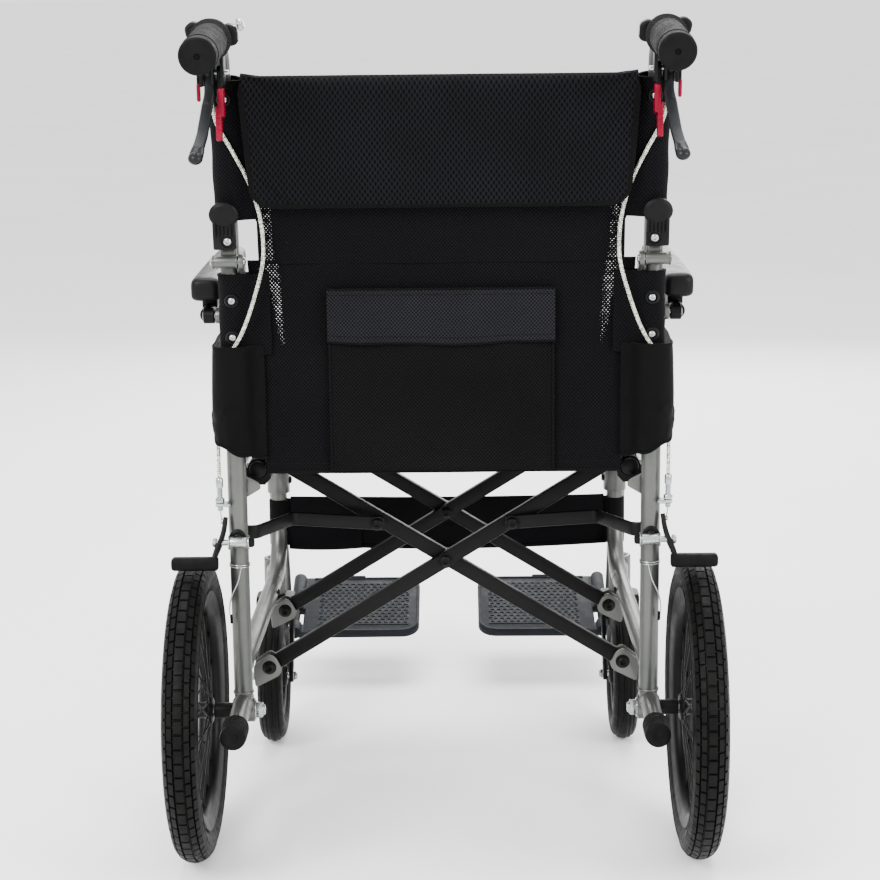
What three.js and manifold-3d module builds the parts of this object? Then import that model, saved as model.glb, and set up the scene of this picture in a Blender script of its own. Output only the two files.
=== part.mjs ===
// Transport wheelchair with a folding X-brace frame, millimetres, +Z up, the chair faces +Y.
// Each side is drawn once, outboard along +X, and the left side is its mirror image.
import * as THREE from "three";
import { mergeVertices } from "three/addons/utils/BufferGeometryUtils.js";
import Module from "manifold-3d";

const wasm = await Module();
wasm.setup();

// Driving dimensions
const TUBE_R = 11.1; // frame tube
const SLEEVE_R = 12; // bore of a sleeve round the tube
const POST_X = 239; // centre of each side frame
const FRONT_Y = 445; // front post and caster stem
const FRONT_X = 231; // the side frame's tubes run a little inboard towards the front
const LOWER_Z = 232; // lower side tube
const UPPER_Z = 442; // upper side tube
const TIP_Z = 190; // tipping tube at the foot of the rear post
const TIP_END_Y = -122;
const HINGE = { y: -22, z: 714 }; // half-fold hinge of the back
const LEAN = THREE.MathUtils.degToRad(10.35); // upper posts lean back
const LEAN_Z = 713; // height where the lean starts
const AXLE_Z = 178; // rear axle
const WHEEL_X = 295;
const TYRE = { ring: 157, section: 21 };
const CASTER = { y: 390, ring: 72, section: 17 };
const CASTER_Z = CASTER.ring + CASTER.section;
const BRACE = { x: 217, low: 199, high: 465 }; // pivots and seat rails of the X-brace
const RAIL_R = 10;
const RAIL_Y = [18, 430];
const BAR_HALF_W = 9;
const BARS_Y = { rear: { a: [98, 110], b: [112, 124] }, front: { a: [338, 350], b: [352, 364] } };
const BRACE_ANGLE = Math.atan2((BRACE.high - BRACE.low) / 2, BRACE.x);
const BAR_LENGTH = Math.hypot(BRACE.high - BRACE.low, 2 * BRACE.x);
const BRACE_MID_Z = (BRACE.low + BRACE.high) / 2;
const LINK = { z: 392, along: 95.1, height: 17 }; // post pivot height, far pivot from the brace centre
const BOLT_R = 5;
const BORE_GAP = 0.3;
const PLATE = { hingeX: 228, midY: 677.5, midZ: 103, tilt: 15, inner: 44, half: 78 }; // footplate
const HANDLE = { x: 241, rootY: -78, rootZ: 964, endY: -222, endZ: 947 };
const GRIP_R = 19.5;
const ARM = { y: 32, z: 645, x: 271, frontY: 320, footZ: 440 }; // flip-back armrest
const BRAKE = { y: -19, z: 388, shoeY: -34, shoeZ: 367, shoeR: 8 };
const LEVER = { y: -70, z: 925, tipY: -160, tipZ: 843 };
const CABLE_R = 2.2;

// An eight-sided bore that an eight-sided pin of this radius can turn in.
const boreOf = (radius) => (radius + BORE_GAP) / Math.cos(Math.PI / 8);

const finish = (color, roughness, metalness) =>
  new THREE.MeshStandardMaterial({ color, roughness, metalness });
const silverPaint = finish(0x8f9089, 0.4, 0.6);
const blackPaint = finish(0x1b1b1c, 0.45, 0.3);
const zinc = finish(0xc4c8c8, 0.3, 0.9);
const blackPlastic = finish(0x1d1e20, 0.5, 0);
const greyPlastic = finish(0x2c2f33, 0.55, 0);
const redPlastic = finish(0xb3142a, 0.4, 0);
const rubber = finish(0x161616, 0.8, 0);
const grip = finish(0x2a2b2c, 0.85, 0);
const fabric = finish(0x101114, 0.95, 0);
const braid = finish(0xb9bab0, 0.6, 0.3);

// Solids: joining and cutting closed meshes
function solidOf(geometry) {
  const bare = geometry.clone();
  bare.deleteAttribute("normal");
  bare.deleteAttribute("uv");
  const merged = mergeVertices(bare, 1e-4);
  const vertProperties = merged.attributes.position.array;
  const triVerts = new Uint32Array(merged.index.array);
  return new wasm.Manifold(new wasm.Mesh({ numProp: 3, vertProperties, triVerts }));
}

function geometryOf(solid) {
  const mesh = solid.getMesh();
  const geometry = new THREE.BufferGeometry();
  geometry.setAttribute("position", new THREE.BufferAttribute(mesh.vertProperties, 3));
  geometry.setIndex(new THREE.BufferAttribute(mesh.triVerts, 1));
  geometry.computeVertexNormals();
  return geometry;
}

const join = (...pieces) => geometryOf(pieces.map(solidOf).reduce((a, b) => a.add(b)));
const cut = (body, ...tools) =>
  geometryOf(tools.map(solidOf).reduce((a, b) => a.subtract(b), solidOf(body)));

// Basic shapes
const vec = (x, y, z) => new THREE.Vector3(x, y, z);

function box(x0, x1, y0, y1, z0, z1) {
  const middle = [(x0 + x1) / 2, (y0 + y1) / 2, (z0 + z1) / 2];
  return new THREE.BoxGeometry(x1 - x0, y1 - y0, z1 - z0).translate(...middle);
}

// A round bar along one axis, at the two other coordinates given in the order x, y, z.
function rod(axis, radius, from, to, u, v, sides = 8) {
  const bar = new THREE.CylinderGeometry(radius, radius, to - from, sides);
  const middle = (from + to) / 2;
  if (axis === "x") return bar.rotateZ(Math.PI / 2).translate(middle, u, v);
  if (axis === "y") return bar.translate(u, middle, v);
  return bar.rotateX(Math.PI / 2).translate(u, v, middle);
}

// A path that is sampled only at its own stops, so that a straight run costs one step.
class StopPath extends THREE.Curve {
  constructor(stops) {
    super();
    this.stops = stops;
  }

  getPointAt(u, target = new THREE.Vector3()) {
    return target.copy(this.stops[Math.round(u * (this.stops.length - 1))]);
  }

  getTangentAt(u, target = new THREE.Vector3()) {
    const last = this.stops.length - 1;
    const here = Math.round(u * last);
    const ahead = this.stops[Math.min(here + 1, last)];
    const behind = this.stops[Math.max(here - 1, 0)];
    const forward = ahead.clone().sub(this.stops[here]).normalize();
    const backward = this.stops[here].clone().sub(behind).normalize();
    return target.copy(forward.add(backward)).normalize();
  }
}

// The corners of a polyline turned into bends, all of one radius or each of its own.
function bent(points, radii, steps = 3) {
  const stops = [points[0]];
  for (let i = 1; i < points.length - 1; i++) {
    const radius = Array.isArray(radii) ? radii[i - 1] : radii;
    const start = points[i].clone().sub(points[i - 1]).normalize();
    const end = points[i + 1].clone().sub(points[i]).normalize();
    const reach = radius * Math.tan(start.angleTo(end) / 2);
    const from = points[i].clone().addScaledVector(start, -reach);
    const to = points[i].clone().addScaledVector(end, reach);
    stops.push(...new THREE.QuadraticBezierCurve3(from, points[i], to).getPoints(steps));
  }
  stops.push(points[points.length - 1]);
  return stops;
}

function tube(stops, radius, curveSegments = 5) {
  const ring = new THREE.Shape().absarc(0, 0, radius, 0, 2 * Math.PI);
  const options = { steps: stops.length - 1, extrudePath: new StopPath(stops), curveSegments };
  return new THREE.ExtrudeGeometry(ring, options);
}

function extruded(shape, depth, curveSegments) {
  return new THREE.ExtrudeGeometry(shape, { depth, bevelEnabled: false, curveSegments });
}

// Plates: an outline drawn in two axes and given a thickness along the third.
const plateXZ = (shape, y0, y1, segments = 4) =>
  extruded(shape, y1 - y0, segments).rotateX(Math.PI / 2).translate(0, y1, 0);
const plateYZ = (shape, x0, x1, segments = 4) =>
  extruded(shape, x1 - x0, segments).rotateX(Math.PI / 2).rotateZ(Math.PI / 2).translate(x0, 0, 0);
const plateXY = (shape, z0, z1, segments = 4) =>
  extruded(shape, z1 - z0, segments).translate(0, 0, z0);

function capsule(u0, v0, u1, v1, radius) {
  const angle = Math.atan2(v1 - v0, u1 - u0);
  const quarter = Math.PI / 2;
  const shape = new THREE.Shape();
  shape.absarc(u1, v1, radius, angle - quarter, angle + quarter);
  shape.absarc(u0, v0, radius, angle + quarter, angle + 3 * quarter);
  return shape;
}

function withHole(shape, u, v, radius) {
  shape.holes.push(new THREE.Path().absarc(u, v, radius, 0, 2 * Math.PI, true));
  return shape;
}

// A strip of even width along a polyline, mitred at its corners.
function band(points, width) {
  const middle = points.map(([u, v]) => new THREE.Vector2(u, v));
  const sideways = middle.slice(1).map((point, i) => {
    const direction = point.clone().sub(middle[i]).normalize();
    return new THREE.Vector2(-direction.y, direction.x);
  });
  const rail = (offset) =>
    middle.map((point, i) => {
      const before = sideways[Math.max(i - 1, 0)];
      const after = sideways[Math.min(i, sideways.length - 1)];
      const mitre = before.clone().add(after).normalize();
      return point.clone().addScaledVector(mitre, offset / mitre.dot(after));
    });
  return new THREE.Shape([...rail(width / 2), ...rail(-width / 2).reverse()]);
}

// A closed ring or disc turned about X from its profile of [radius, along] points.
function turned(profile, segments) {
  const points = profile.map(([radius, along]) => new THREE.Vector2(radius, along));
  return new THREE.LatheGeometry(points, segments).rotateZ(-Math.PI / 2);
}

function tyre({ ring, section }, around, sides) {
  const profile = Array.from({ length: sides + 1 }, (_, i) => {
    const angle = (2 * Math.PI * (i % sides)) / sides;
    return [ring + section * Math.cos(angle), section * Math.sin(angle)];
  });
  return turned(profile, around);
}

// The upper back leans about a line across the chair at the top of the lower posts.
const leaned = (geometry) =>
  geometry.translate(0, 0, -LEAN_Z).rotateX(LEAN).translate(0, 0, LEAN_Z);
const leanY = (z) => -(z - LEAN_Z) * Math.tan(LEAN);

// Side frame
function bracePivot([y0, y1]) {
  const plate = capsule(POST_X - 6, LOWER_Z - 6, BRACE.x, BRACE.low, 12);
  const bolt = rod("y", BOLT_R, y0 - 6, y1 + 6, BRACE.x, BRACE.low);
  const head = rod("y", 8, y0 - 10, y0 - 4, BRACE.x, BRACE.low, 6);
  const nut = rod("y", 8, y1 + 4, y1 + 10, BRACE.x, BRACE.low, 6);
  return [plateXZ(plate, y0 - 4, y0 - 1), plateXZ(plate, y1 + 1, y1 + 4), bolt, head, nut];
}

function railSaddle(y0) {
  const cup = box(BRACE.x - 13, POST_X - 5, y0, y0 + 25, 441, 462);
  const channel = rod("y", RAIL_R + 0.4, y0 - 1, y0 + 26, BRACE.x, BRACE.high, 12);
  const mouth = box(BRACE.x - 10.4, BRACE.x + 10.4, y0 - 1, y0 + 26, BRACE.high, 480);
  return cut(cup, channel, mouth);
}

function backHingeEar() {
  const ear = capsule(HINGE.y, HINGE.z, -5, 704, 9);
  const pin = rod("x", 3.5, 221.5, 258, HINGE.y, HINGE.z);
  return [plateYZ(ear, 221.5, 227), box(222, 231, -10, 0, 698, 711), pin];
}

function sideFrame(rearBar, frontBar) {
  const loop = [
    vec(POST_X, 0, UPPER_Z),
    vec(POST_X, 120, UPPER_Z),
    vec(FRONT_X, FRONT_Y, UPPER_Z),
    vec(FRONT_X, FRONT_Y, LOWER_Z),
    vec(POST_X, 0, LOWER_Z),
  ];
  const casterStay = [vec(FRONT_X + 1, 350, LOWER_Z), vec(POST_X, FRONT_Y, LOWER_Z)];
  const armBoss = rod("x", 9, 246, 261, ARM.y, ARM.z);
  const armPin = rod("x", 5, 260, 284, ARM.y, ARM.z);
  const armPinHead = rod("x", 8, 281, 285, ARM.y, ARM.z, 6);
  const linkBolt = rod("y", 4.5, -15, 21, POST_X, LINK.z);
  const body = join(
    rod("z", TUBE_R, TIP_Z, 712, POST_X, 0, 12),
    rod("y", TUBE_R, TIP_END_Y, 12, POST_X, TIP_Z, 12),
    tube(bent(loop, [1000, 45, 90], 4), TUBE_R),
    tube(casterStay, TUBE_R),
    rod("z", 15, 192, 243, POST_X, FRONT_Y, 12),
    rod("x", 14, 226, 252, 0, AXLE_Z, 12),
    ...bracePivot(rearBar),
    ...bracePivot(frontBar),
    railSaddle(45),
    railSaddle(380),
    ...backHingeEar(),
    plateYZ(capsule(0, ARM.z, ARM.y, ARM.z, 9), 246, 252),
    armBoss,
    armPin,
    armPinHead,
    box(POST_X, 284, ARM.frontY - 14, ARM.frontY + 14, 430, ARM.footZ),
    linkBolt,
    rod("y", 7, -16, -10, POST_X, LINK.z, 6),
    rod("y", 7, 18.5, 22, POST_X, LINK.z, 6),
    rod("x", 6.6, 228, 247, BRAKE.y, BRAKE.z),
    rod("x", 3.5, 221, 268, BRAKE.y, BRAKE.z),
    rod("x", 6.5, 219, 226, BRAKE.y, BRAKE.z, 6),
    rod("x", 6, 262.6, 268, BRAKE.y, BRAKE.z, 6),
    box(246, 263, -19, -5, 430, 434),
  );
  const stemBore = rod("z", boreOf(8), 180, 237, POST_X, FRONT_Y);
  const axleBore = rod("x", 6 + BORE_GAP, 220, 260, 0, AXLE_Z);
  const adjusterBore = rod("z", 3.3, 425, 440, 258, -13);
  return cut(body, stemBore, axleBore, adjusterBore);
}

function tipCap() {
  const outer = rod("y", 15, TIP_END_Y - 9, TIP_END_Y + 28, POST_X, TIP_Z, 12);
  const socket = rod("y", SLEEVE_R, TIP_END_Y - BORE_GAP, TIP_END_Y + 30, POST_X, TIP_Z, 12);
  return cut(outer, socket);
}

function sideGuard() {
  const outline = band([[264, 300], [264, -22], [222, -22], [222, 14]], 4);
  return plateXY(outline, 498, 615);
}

// Wheels
function rearAxle() {
  const shaft = rod("x", 6, 214, 318, 0, AXLE_Z);
  const innerNut = rod("x", 10.5, 213, 225.6, 0, AXLE_Z, 6);
  const outerNut = rod("x", 9, 315, 321, 0, AXLE_Z, 6);
  return join(shaft, innerNut, outerNut);
}

function rearWheel() {
  const profile = [[122, 12], [122, -12], [141.5, -17.5], [135.6, -7], [135.6, 7], [141.5, 17.5]];
  const rim = turned([...profile, profile[0]], 28);
  const hub = rod("x", 16, -19, 19, 0, 0, 12);
  const spokeCount = 10;
  const spokes = Array.from({ length: spokeCount }, (_, i) => {
    const angle = (2 * Math.PI * i) / spokeCount;
    const along = i % 2 ? 14 : -14;
    const foot = vec(along, 13 * Math.sin(angle), 13 * Math.cos(angle));
    const head = vec(0, 125 * Math.sin(angle), 125 * Math.cos(angle));
    return tube([foot, head], 2, 2);
  });
  return cut(join(rim, hub, ...spokes), rod("x", boreOf(6), -30, 30, 0, 0));
}

function casterFork() {
  const stem = rod("z", 8, 180, 236, POST_X, FRONT_Y);
  const crown = box(POST_X - 26, POST_X + 26, FRONT_Y - 20, FRONT_Y + 17, 178, 190);
  const leg = capsule(CASTER.y, CASTER_Z, FRONT_Y, 182, 9);
  const legs = [POST_X - 26, POST_X + 21].map((x) => plateYZ(leg, x, x + 5, 4));
  const axle = rod("x", 4, POST_X - 30, POST_X + 30, CASTER.y, CASTER_Z);
  return join(stem, crown, ...legs, axle);
}

function casterRim() {
  const half = [[54, 10], [44, 10], [40, 4], [14, 4], [14, 18], [0, 18]];
  const mirrored = half.map(([radius, along]) => [radius, -along]).reverse();
  return cut(turned([...mirrored, ...half], 12), rod("x", boreOf(4), -30, 30, 0, 0));
}

// X-brace
const brace = { lean: BRACE_ANGLE, half: BAR_LENGTH / 2 };

// Bar A runs from the lower left pivot up to the right rail, bar B is its mirror image.
function crossBar([y0, y1], boltEnd) {
  const top = brace.half - RAIL_R - BORE_GAP;
  const shape = new THREE.Shape();
  shape.moveTo(top, -BAR_HALF_W);
  shape.lineTo(top, BAR_HALF_W);
  shape.absarc(-brace.half, 0, BAR_HALF_W, Math.PI / 2, 1.5 * Math.PI);
  withHole(shape, -brace.half, 0, boreOf(BOLT_R));
  if (!boltEnd) withHole(shape, 0, 0, boreOf(BOLT_R));
  const bar = plateXZ(shape, y0, y1);
  if (!boltEnd) return bar;
  const bolt = rod("y", BOLT_R, y0 - 1, boltEnd, 0, 0);
  const head = rod("y", 8, y0 - 6, y0 + 1, 0, 0, 6);
  const nut = rod("y", 8, boltEnd - 6, boltEnd, 0, 0, 6);
  return join(bar, bolt, head, nut);
}

const seatRail = () => rod("y", RAIL_R, ...RAIL_Y, BRACE.x, BRACE.high, 12);

// Link arm from the rear post to the upper half of a brace bar, drawn level and then tipped.
function linkArm(barNear) {
  const farX = BRACE.x - brace.half * Math.cos(brace.lean) + LINK.along * Math.cos(brace.lean);
  const farZ = BRACE_MID_Z + LINK.along * Math.sin(brace.lean);
  const length = Math.hypot(POST_X - farX, LINK.z - farZ);
  const drop = Math.atan2(LINK.z - farZ, POST_X - farX);
  const route = [[8, 15.5], [-18, 15.5], [-56, 90], [-length - 8, 90]];
  const strap = plateXY(band(route, 5), -LINK.height / 2, LINK.height / 2);
  const eye = rod("y", boreOf(4.5), 5, 25, 0, 0);
  const bolt = rod("y", BOLT_R, 84, barNear - 0.5, -length, 0);
  const head = rod("y", 7.5, 82, 88, -length, 0, 6);
  return join(cut(strap, eye), bolt, head).rotateY(-drop).translate(POST_X, 0, LINK.z);
}

// Footrest
function footrestHanger() {
  const x = 242;
  const collar = cut(
    rod("z", 15.5, 336, 370, FRONT_X, FRONT_Y, 12),
    rod("z", SLEEVE_R, 320, 390, FRONT_X, FRONT_Y, 12),
  );
  const route = [vec(FRONT_X + 3, 458, 353), vec(x, 495, 353), vec(x, 605, 210), vec(x, 644, 92)];
  const pivotRod = rod("y", 6, -PLATE.half - 2, PLATE.half + 2, 0, 0)
    .rotateX(THREE.MathUtils.degToRad(PLATE.tilt))
    .translate(PLATE.hingeX, PLATE.midY, PLATE.midZ);
  return join(collar, tube(bent(route, 40), 9.5), pivotRod);
}

// The plate is drawn level about its hinge line and then tilted, toe end up.
function footplate() {
  const width = PLATE.hingeX - PLATE.inner;
  const corner = 22;
  const outline = new THREE.Shape();
  outline.moveTo(-11, -PLATE.half);
  outline.lineTo(-11, PLATE.half);
  outline.lineTo(-width + corner, PLATE.half);
  outline.absarc(-width + corner, PLATE.half - corner, corner, Math.PI / 2, Math.PI);
  outline.absarc(-width + corner, -PLATE.half + corner, corner, Math.PI, 1.5 * Math.PI);
  const slab = plateXY(outline, -9, 2, 4);
  const link = box(-14, -5, -PLATE.half, PLATE.half, -9, 2);
  const knuckles = [[-PLATE.half, -54], [-14, PLATE.half]].map(([y0, y1]) => rod("y", 10, y0, y1, 0, 0));
  const hangerGap = box(-10.5, 12, -54, -14, -12, 12);
  const bore = rod("y", boreOf(6), -PLATE.half - 1, PLATE.half + 1, 0, 0);
  return cut(join(slab, link, ...knuckles), hangerGap, bore)
    .rotateX(THREE.MathUtils.degToRad(PLATE.tilt))
    .translate(PLATE.hingeX, PLATE.midY, PLATE.midZ);
}

// Back
const upperRoute = [
  vec(POST_X, leanY(LEAN_Z + 2), LEAN_Z + 2),
  vec(POST_X, leanY(945), 945),
  vec(HANDLE.x, HANDLE.rootY, HANDLE.rootZ),
  vec(HANDLE.x, HANDLE.endY, HANDLE.endZ),
];
const upperTube = (radius) => tube(bent(upperRoute, 32), radius);

function upperPost() {
  const barrel = rod("x", 6.7, 227.5, 257, HINGE.y, HINGE.z);
  const bracket = box(230, 248, -17.5, -4, 714, 728);
  const post = join(upperTube(TUBE_R), barrel, bracket);
  return cut(post, rod("x", boreOf(3.5), 220, 262, HINGE.y, HINGE.z));
}

// Pieces on the handle are drawn along Y from its root and then tipped with it.
const handleDrop = Math.atan2(HANDLE.rootZ - HANDLE.endZ, HANDLE.rootY - HANDLE.endY);
const onHandle = (geometry) =>
  geometry.rotateX(handleDrop).translate(HANDLE.x, HANDLE.endY, HANDLE.endZ);

function handGrip() {
  const sleeve = rod("y", GRIP_R, -4, 118, 0, 0, 14);
  const flange = rod("y", GRIP_R + 3, 112, 118, 0, 0, 14);
  const socket = rod("y", SLEEVE_R, -BORE_GAP, 120, 0, 0, 12);
  const vent = rod("y", 3, -6, 2, 0, 0, 8);
  return onHandle(cut(join(sleeve, flange), socket, vent));
}

function leverClamp() {
  const ring = onHandle(rod("y", 17, 122, 140, 0, 0, 12));
  const perch = box(241, 257, -84, -62, 915, 962);
  const slot = box(244.5, 253.5, -95, -55, 905, 942);
  const pin = rod("x", 3, 232, 257, LEVER.y, LEVER.z);
  return join(cut(join(ring, perch), upperTube(SLEEVE_R), slot), pin);
}

function brakeLever() {
  const blade = [
    vec(0, LEVER.y, LEVER.z),
    vec(0, -84, 902),
    vec(0, -128, 862),
    vec(0, LEVER.tipY, LEVER.tipZ),
  ];
  const shaft = tube(bent(blade, 30, 3), 4, 3).translate(249, 0, 0);
  const ball = new THREE.SphereGeometry(7, 8, 6).translate(249, LEVER.tipY, LEVER.tipZ);
  const eye = rod("x", 8, 245, 253, LEVER.y, LEVER.z);
  return cut(join(shaft, ball, eye), rod("x", boreOf(3), 240, 258, LEVER.y, LEVER.z));
}

function parkingCatch() {
  const outline = capsule(LEVER.y + 2, 858, LEVER.y, LEVER.z, 7.5);
  return plateYZ(withHole(outline, LEVER.y, LEVER.z, boreOf(3)), 233.5, 240.5);
}

function backLatch() {
  const body = box(227, 259, -31, -19.5, 728, 764);
  const tab = rod("y", 17, -31, -24, 243, 766, 14);
  return leaned(join(body, tab).translate(0, 1, 0));
}

function backUpper() {
  const panel = box(0.3, 219, -12, -4, 718, 925);
  const sleeve = box(217, 254, -15, 15, 770, 918);
  const flap = box(0.3, 215, -26, -21, 782, 925);
  const seam = box(0.3, 215, -26, -10, 915, 925);
  const postRoom = rod("z", SLEEVE_R, 700, 960, POST_X, 0, 12);
  const upper = leaned(cut(join(panel, sleeve, flap, seam), postRoom));
  return join(upper, box(0.3, 219, -12, -8.3, 702, 721));
}

function backLower() {
  const panel = box(0.3, 219, -7, -1, 467, 714.5);
  const sleeve = box(217, 254, -14.5, 14.5, 618, 694);
  const postRoom = rod("z", SLEEVE_R, 600, 720, POST_X, 0, 12);
  const armRoom = box(240, 260, -12, 20, 632, 658);
  return cut(join(panel, sleeve), postRoom, armRoom);
}

// Armrest
function armrestSupport() {
  const eye = rod("x", 11, 262, 280, ARM.y, ARM.z);
  const route = [
    vec(ARM.x, ARM.y, ARM.z),
    vec(ARM.x, ARM.frontY, 652),
    vec(ARM.x, ARM.frontY, ARM.footZ + 0.4),
  ];
  const blocks = [60, 240].map((y) => box(262, 280, y, y + 24, 650, 663.6));
  const body = join(eye, tube(bent(route, 40), 9), ...blocks);
  return cut(body, rod("x", boreOf(5), 255, 290, ARM.y, ARM.z));
}

function armrestPad() {
  const outline = new THREE.Shape();
  const [x0, x1, z0, z1, corner] = [255, 290, 664, 690, 9];
  outline.moveTo(x0, z0);
  outline.lineTo(x1, z0);
  outline.absarc(x1 - corner, z1 - corner, corner, 0, Math.PI / 2);
  outline.absarc(x0 + corner, z1 - corner, corner, Math.PI / 2, Math.PI);
  return plateXZ(outline, 20, 338, 4);
}

// Rear brake
function brakeArm() {
  const lower = capsule(BRAKE.y, BRAKE.z, BRAKE.shoeY, BRAKE.shoeZ, 7);
  const upper = capsule(BRAKE.y, BRAKE.z, -10, 412, 6);
  const arm = join(plateYZ(lower, 256.5, 262), plateYZ(upper, 256.5, 262));
  const shoe = rod("x", BRAKE.shoeR, 260, 314, BRAKE.shoeY, BRAKE.shoeZ);
  return cut(join(arm, shoe), rod("x", boreOf(3.5), 250, 270, BRAKE.y, BRAKE.z));
}

function cableAdjuster() {
  const barrel = rod("z", 3, 424, 460, 258, -13, 8);
  const nut = rod("z", 5.5, 434.4, 440, 258, -13, 6);
  return join(barrel, nut);
}

// The braided housing from the brake lever to the adjuster above the rear brake.
const cableRoute = [
  vec(249, -59, 918),
  vec(248, -56, 895),
  vec(243, -50, 868),
  vec(228, -42, 838),
  vec(213, -34, 806),
  vec(203, -27.3, 772),
  vec(199, -25, 742),
  vec(200, -25, 712),
  vec(211, -23, 672),
  vec(221, -23, 644),
  vec(229, -20.6, 627),
  vec(239, -16.4, 611),
  vec(250, -13.2, 594),
  vec(257, -11, 566),
  vec(258, -12, 505),
  vec(258, -13, 460.6),
];

function brakeCable() {
  const curve = new THREE.CatmullRomCurve3(cableRoute, false, "centripetal");
  return tube(curve.getSpacedPoints(30), CABLE_R, 3);
}

// Soft seat and calf strap
const seatHalf = () => box(0.3, 206, 16, 428, 470, 476);
const calfStrap = () => box(-218.5, 218.5, 442, 448, 258, 330);
const pocket = () => box(-134, 128, -13, -7.3, 470, 681);

// Assembly
const chair = new THREE.Group();

function add(parent, name, geometry, material) {
  const mesh = new THREE.Mesh(geometry, material);
  mesh.name = name;
  parent.add(mesh);
  return mesh;
}

for (const [side, mirror] of [["left", -1], ["right", 1]]) {
  const half = new THREE.Group();
  half.scale.x = mirror;
  const bar = side === "left" ? "a" : "b"; // the bar whose foot is on this side
  const linked = side === "left" ? "b" : "a"; // the bar whose head is on this side
  const part = (name, geometry, material) => add(half, `${name}_${side}`, geometry, material);

  part("side_frame", sideFrame(BARS_Y.rear[bar], BARS_Y.front[bar]), silverPaint);
  part("rear_tip_cap", tipCap(), rubber);
  part("rear_axle", rearAxle(), zinc);
  part("side_guard", sideGuard(), fabric);
  part("link_arm", linkArm(BARS_Y.rear[linked][0]), blackPaint);
  part("seat_rail", seatRail(), silverPaint);
  part("footrest_hanger", footrestHanger(), silverPaint);
  part("footplate", footplate(), greyPlastic);
  part("caster_fork", casterFork(), blackPaint);
  part("upper_post", upperPost(), silverPaint);
  part("hand_grip", handGrip(), grip);
  part("lever_clamp", leverClamp(), blackPlastic);
  part("brake_lever", brakeLever(), blackPaint);
  part("parking_catch", parkingCatch(), redPlastic);
  part("back_latch", backLatch(), blackPlastic);
  part("armrest_support", armrestSupport(), silverPaint);
  part("armrest_pad", armrestPad(), blackPlastic);
  part("brake_arm", brakeArm(), blackPaint);
  part("cable_adjuster", cableAdjuster(), zinc);
  part("brake_cable", brakeCable(), braid);
  part("seat", seatHalf(), fabric);
  part("back_lower", backLower(), fabric);
  part("back_upper", backUpper(), fabric);

  const rearWheels = [
    part("rear_tyre", tyre(TYRE, 28, 8), rubber),
    part("rear_wheel", rearWheel(), blackPaint),
  ];
  rearWheels.forEach((mesh) => mesh.position.set(WHEEL_X, 0, AXLE_Z));
  const casterWheels = [
    part("caster_tyre", tyre(CASTER, 20, 8), rubber),
    part("caster_rim", casterRim(), blackPlastic),
  ];
  casterWheels.forEach((mesh) => mesh.position.set(POST_X, CASTER.y, CASTER_Z));
  chair.add(half);
}

for (const [row, layers] of Object.entries(BARS_Y)) {
  for (const [name, layer] of Object.entries(layers)) {
    const boltEnd = name === "a" ? layers.b[1] + 8 : 0;
    const bar = add(chair, `cross_bar_${name}_${row}`, crossBar(layer, boltEnd), blackPaint);
    bar.position.set(0, 0, BRACE_MID_Z);
    bar.rotation.y = -brace.lean;
    if (name === "b") {
      bar.scale.x = -1;
      bar.rotation.y = brace.lean;
    }
  }
}

add(chair, "calf_strap", calfStrap(), fabric);
add(chair, "back_pocket", pocket(), fabric);

// The origin is on the floor, under the middle of the chair's outline.
chair.updateMatrixWorld(true);
const outline = new THREE.Box3().setFromObject(chair, true);
chair.position.set(0, -(outline.min.y + outline.max.y) / 2, -outline.min.z);

export default chair;
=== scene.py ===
import math

import bmesh
import bpy
import numpy as np
from mathutils import Matrix, Vector, noise


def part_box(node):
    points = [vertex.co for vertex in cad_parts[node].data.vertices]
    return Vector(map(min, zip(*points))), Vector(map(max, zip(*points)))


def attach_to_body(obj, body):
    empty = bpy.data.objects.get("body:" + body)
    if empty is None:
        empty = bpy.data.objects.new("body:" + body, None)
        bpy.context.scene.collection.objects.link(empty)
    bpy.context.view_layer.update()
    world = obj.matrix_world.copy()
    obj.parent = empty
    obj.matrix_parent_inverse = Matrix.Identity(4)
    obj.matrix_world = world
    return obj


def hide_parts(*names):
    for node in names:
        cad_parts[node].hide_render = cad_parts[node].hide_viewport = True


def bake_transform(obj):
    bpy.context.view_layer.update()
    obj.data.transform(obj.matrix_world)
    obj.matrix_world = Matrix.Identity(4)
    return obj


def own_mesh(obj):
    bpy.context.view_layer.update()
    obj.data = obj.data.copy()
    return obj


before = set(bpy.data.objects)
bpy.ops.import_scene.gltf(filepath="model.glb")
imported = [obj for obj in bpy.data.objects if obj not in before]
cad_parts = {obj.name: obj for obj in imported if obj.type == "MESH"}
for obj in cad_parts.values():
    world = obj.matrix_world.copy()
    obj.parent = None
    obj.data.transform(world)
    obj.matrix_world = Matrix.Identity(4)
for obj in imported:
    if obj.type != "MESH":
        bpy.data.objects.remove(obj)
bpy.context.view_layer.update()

MM = 0.001
_low, _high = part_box("rear_tyre_left")
AXLE_Y = (_low.y + _high.y) / 2
SIDES = (("left", -1), ("right", 1))
SCENE = bpy.context.scene


def at(x, y, z):
    """A point in millimetres, in the frame's metres."""
    return Vector((x * MM, AXLE_Y + y * MM, z * MM))


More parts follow.
